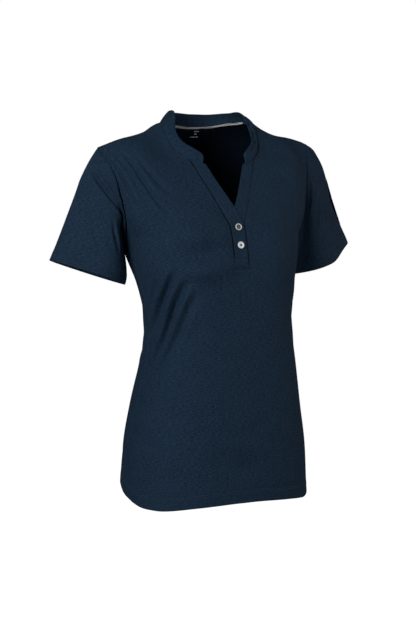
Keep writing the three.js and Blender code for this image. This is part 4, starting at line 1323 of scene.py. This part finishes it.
def stitched(path, normals, length=STITCH, gap=STITCH_GAP, radius=THREAD):
    """Places and quads of stitches along a fine line on the cloth."""
    run = np.concatenate([[0], np.cumsum(np.linalg.norm(np.diff(path, axis=0), axis=1))])
    starts = np.arange(gap, run[-1] - length, length + gap)
    share, thick, lift = STITCH_RINGS.values()
    at = starts[:, None] + share * length
    place = np.stack([np.interp(at, run, path[:, k]) for k in range(3)], -1)
    up = np.stack([np.interp(at, run, normals[:, k]) for k in range(3)], -1)
    forward = np.gradient(place, axis=1)
    forward /= np.linalg.norm(forward, axis=-1, keepdims=True)
    side = np.cross(up, forward)
    angle = 2 * np.pi * np.arange(THREAD_SIDES) / THREAD_SIDES
    round_way = np.cos(angle)[:, None] * side[:, :, None] + np.sin(angle)[:, None] * up[:, :, None]
    rings = (place + up * lift[:, None])[:, :, None] + round_way * (radius * thick)[:, None, None]
    ring_quads = grid_quads(len(share), THREAD_SIDES, closed=True)[0].reshape(-1, 4)
    first = np.arange(len(starts)) * len(share) * THREAD_SIDES
    return rings.reshape(-1, 3), (ring_quads[None] + first[:, None, None]).reshape(-1, 4)


def stitch_piece(name, material, slot, rows):
    """Joins the stitches of several lines, each a path and its normals, into one piece."""
    points, quads, count = [], [], 0
    for row in rows:
        more, new_quads = stitched(*row)
        points.append(more)
        quads.append(new_quads + count)
        count += len(more)
    points, quads = np.vstack(points), np.vstack(quads)
    uv = points[quads][:, :, [0, 2]].reshape(-1, 2)
    return dressed(mesh_object(name, points, quads, uv), material, slot)


def thread(name, dark, pale):
    nodes = Nodes(name, Roughness=0.6, Specular_IOR_Level=0.3, Sheen_Weight=0.1)
    twist = nodes.noise(2500, 1200)
    return nodes.finish(nodes.mix(nodes.ramp(twist, 0.35, 0.65), dark, pale), twist, 0.05)


navy_thread = thread("navy thread", (0.007, 0.019, 0.036, 1), (0.026, 0.048, 0.080, 1))
pale_thread = thread("greige thread", (0.20, 0.19, 0.18, 1), (0.42, 0.41, 0.39, 1))
HEM_ROWS = [len(HEM_TURN) + HEM_RISE.index(row) for row in HEM_STITCHES]


def along_rows(grid, normals, closed):
    """The stitched rows of a hem as stitch lines lying on the cloth."""
    for row in HEM_ROWS:
        path, way = grid[row], normals[row]
        if closed:
            path, way = np.vstack([path, path[:1]]), np.vstack([way, way[:1]])
        yield path + way * ON_HEM, way


front_stitches, back_stitches, right_stitches, left_stitches = (
    stitch_piece(f"{name}_stitches", navy_thread, "jersey", along_rows(grid, normals, closed))
    for name, grid, normals, closed in (
        ("front_hem", front_worn, front_normals, False),
        ("back_hem", back_worn, back_normals, False),
        ("right_cuff", right_worn * MIRROR, right_normals * MIRROR, True),
        ("left_cuff", left_worn, left_normals, True),
    )
)


def lines_at(outer, columns=(), rows=(), low=0):
    """Columns, from a row upwards, and rows of a strip's outer face as stitch lines."""
    normals = normals_of(outer)
    lines = [(outer[low:, column], normals[low:, column]) for column in columns]
    lines += [(outer[row], normals[row]) for row in rows]
    return [(path + way * ON_STRIP, way) for path, way in lines]


def nearest(values, wanted):
    return int(np.argmin(np.abs(values - wanted)))


over_edge, under_edge = (nearest(wide[10], EDGE_ROW) for wide in (over_across, under_across))
over_lines = lines_at(over_outer, [over_edge], [nearest(lengths(over_grid)[1][:, 0], BOX_STITCH)])
under_lines = lines_at(under_outer, [under_edge], low=UNDER_FROM)
tape_lines = lines_at(tape_outer, rows=[nearest(tape_rises, edge) for edge in TAPE_SEWN])
over_stitches = stitch_piece("over_strip_stitches", navy_thread, "jersey", over_lines)
under_stitches = stitch_piece("under_strip_stitches", navy_thread, "jersey", under_lines)
tape_stitches = stitch_piece("tape_stitches", pale_thread, "tape", tape_lines)
BAR_FOOT, BAR_TOP, BAR_POINTS, BAR_THREAD = 1.55, 2.05, 9, 0.3  # mm: of a button's bars of thread


def button_thread(name, z):
    """Two bars of thread through the four holes."""
    place, axes = button_frame(z)
    reach, steps = HOLE_OUT * np.sqrt(0.5), np.linspace(0, 2, BAR_POINTS)
    length, normals = 2 * reach + 0.2, np.repeat(axes[2:], BAR_POINTS, 0)
    rows = []
    for side in (-reach, reach):
        ends = np.array([[side, -reach, BAR_FOOT], [side, 0, BAR_TOP], [side, reach, BAR_FOOT]])
        path = np.stack([np.interp(steps, (0, 1, 2), ends[:, k]) for k in range(3)], -1)
        rows.append((path @ axes + place, normals, length, 0.0, BAR_THREAD))
    return stitch_piece(name, navy_thread, "button", rows)


upper_thread = button_thread("upper_button_thread", BUTTON_HEIGHTS[0])
lower_thread = button_thread("lower_button_thread", BUTTON_HEIGHTS[1])
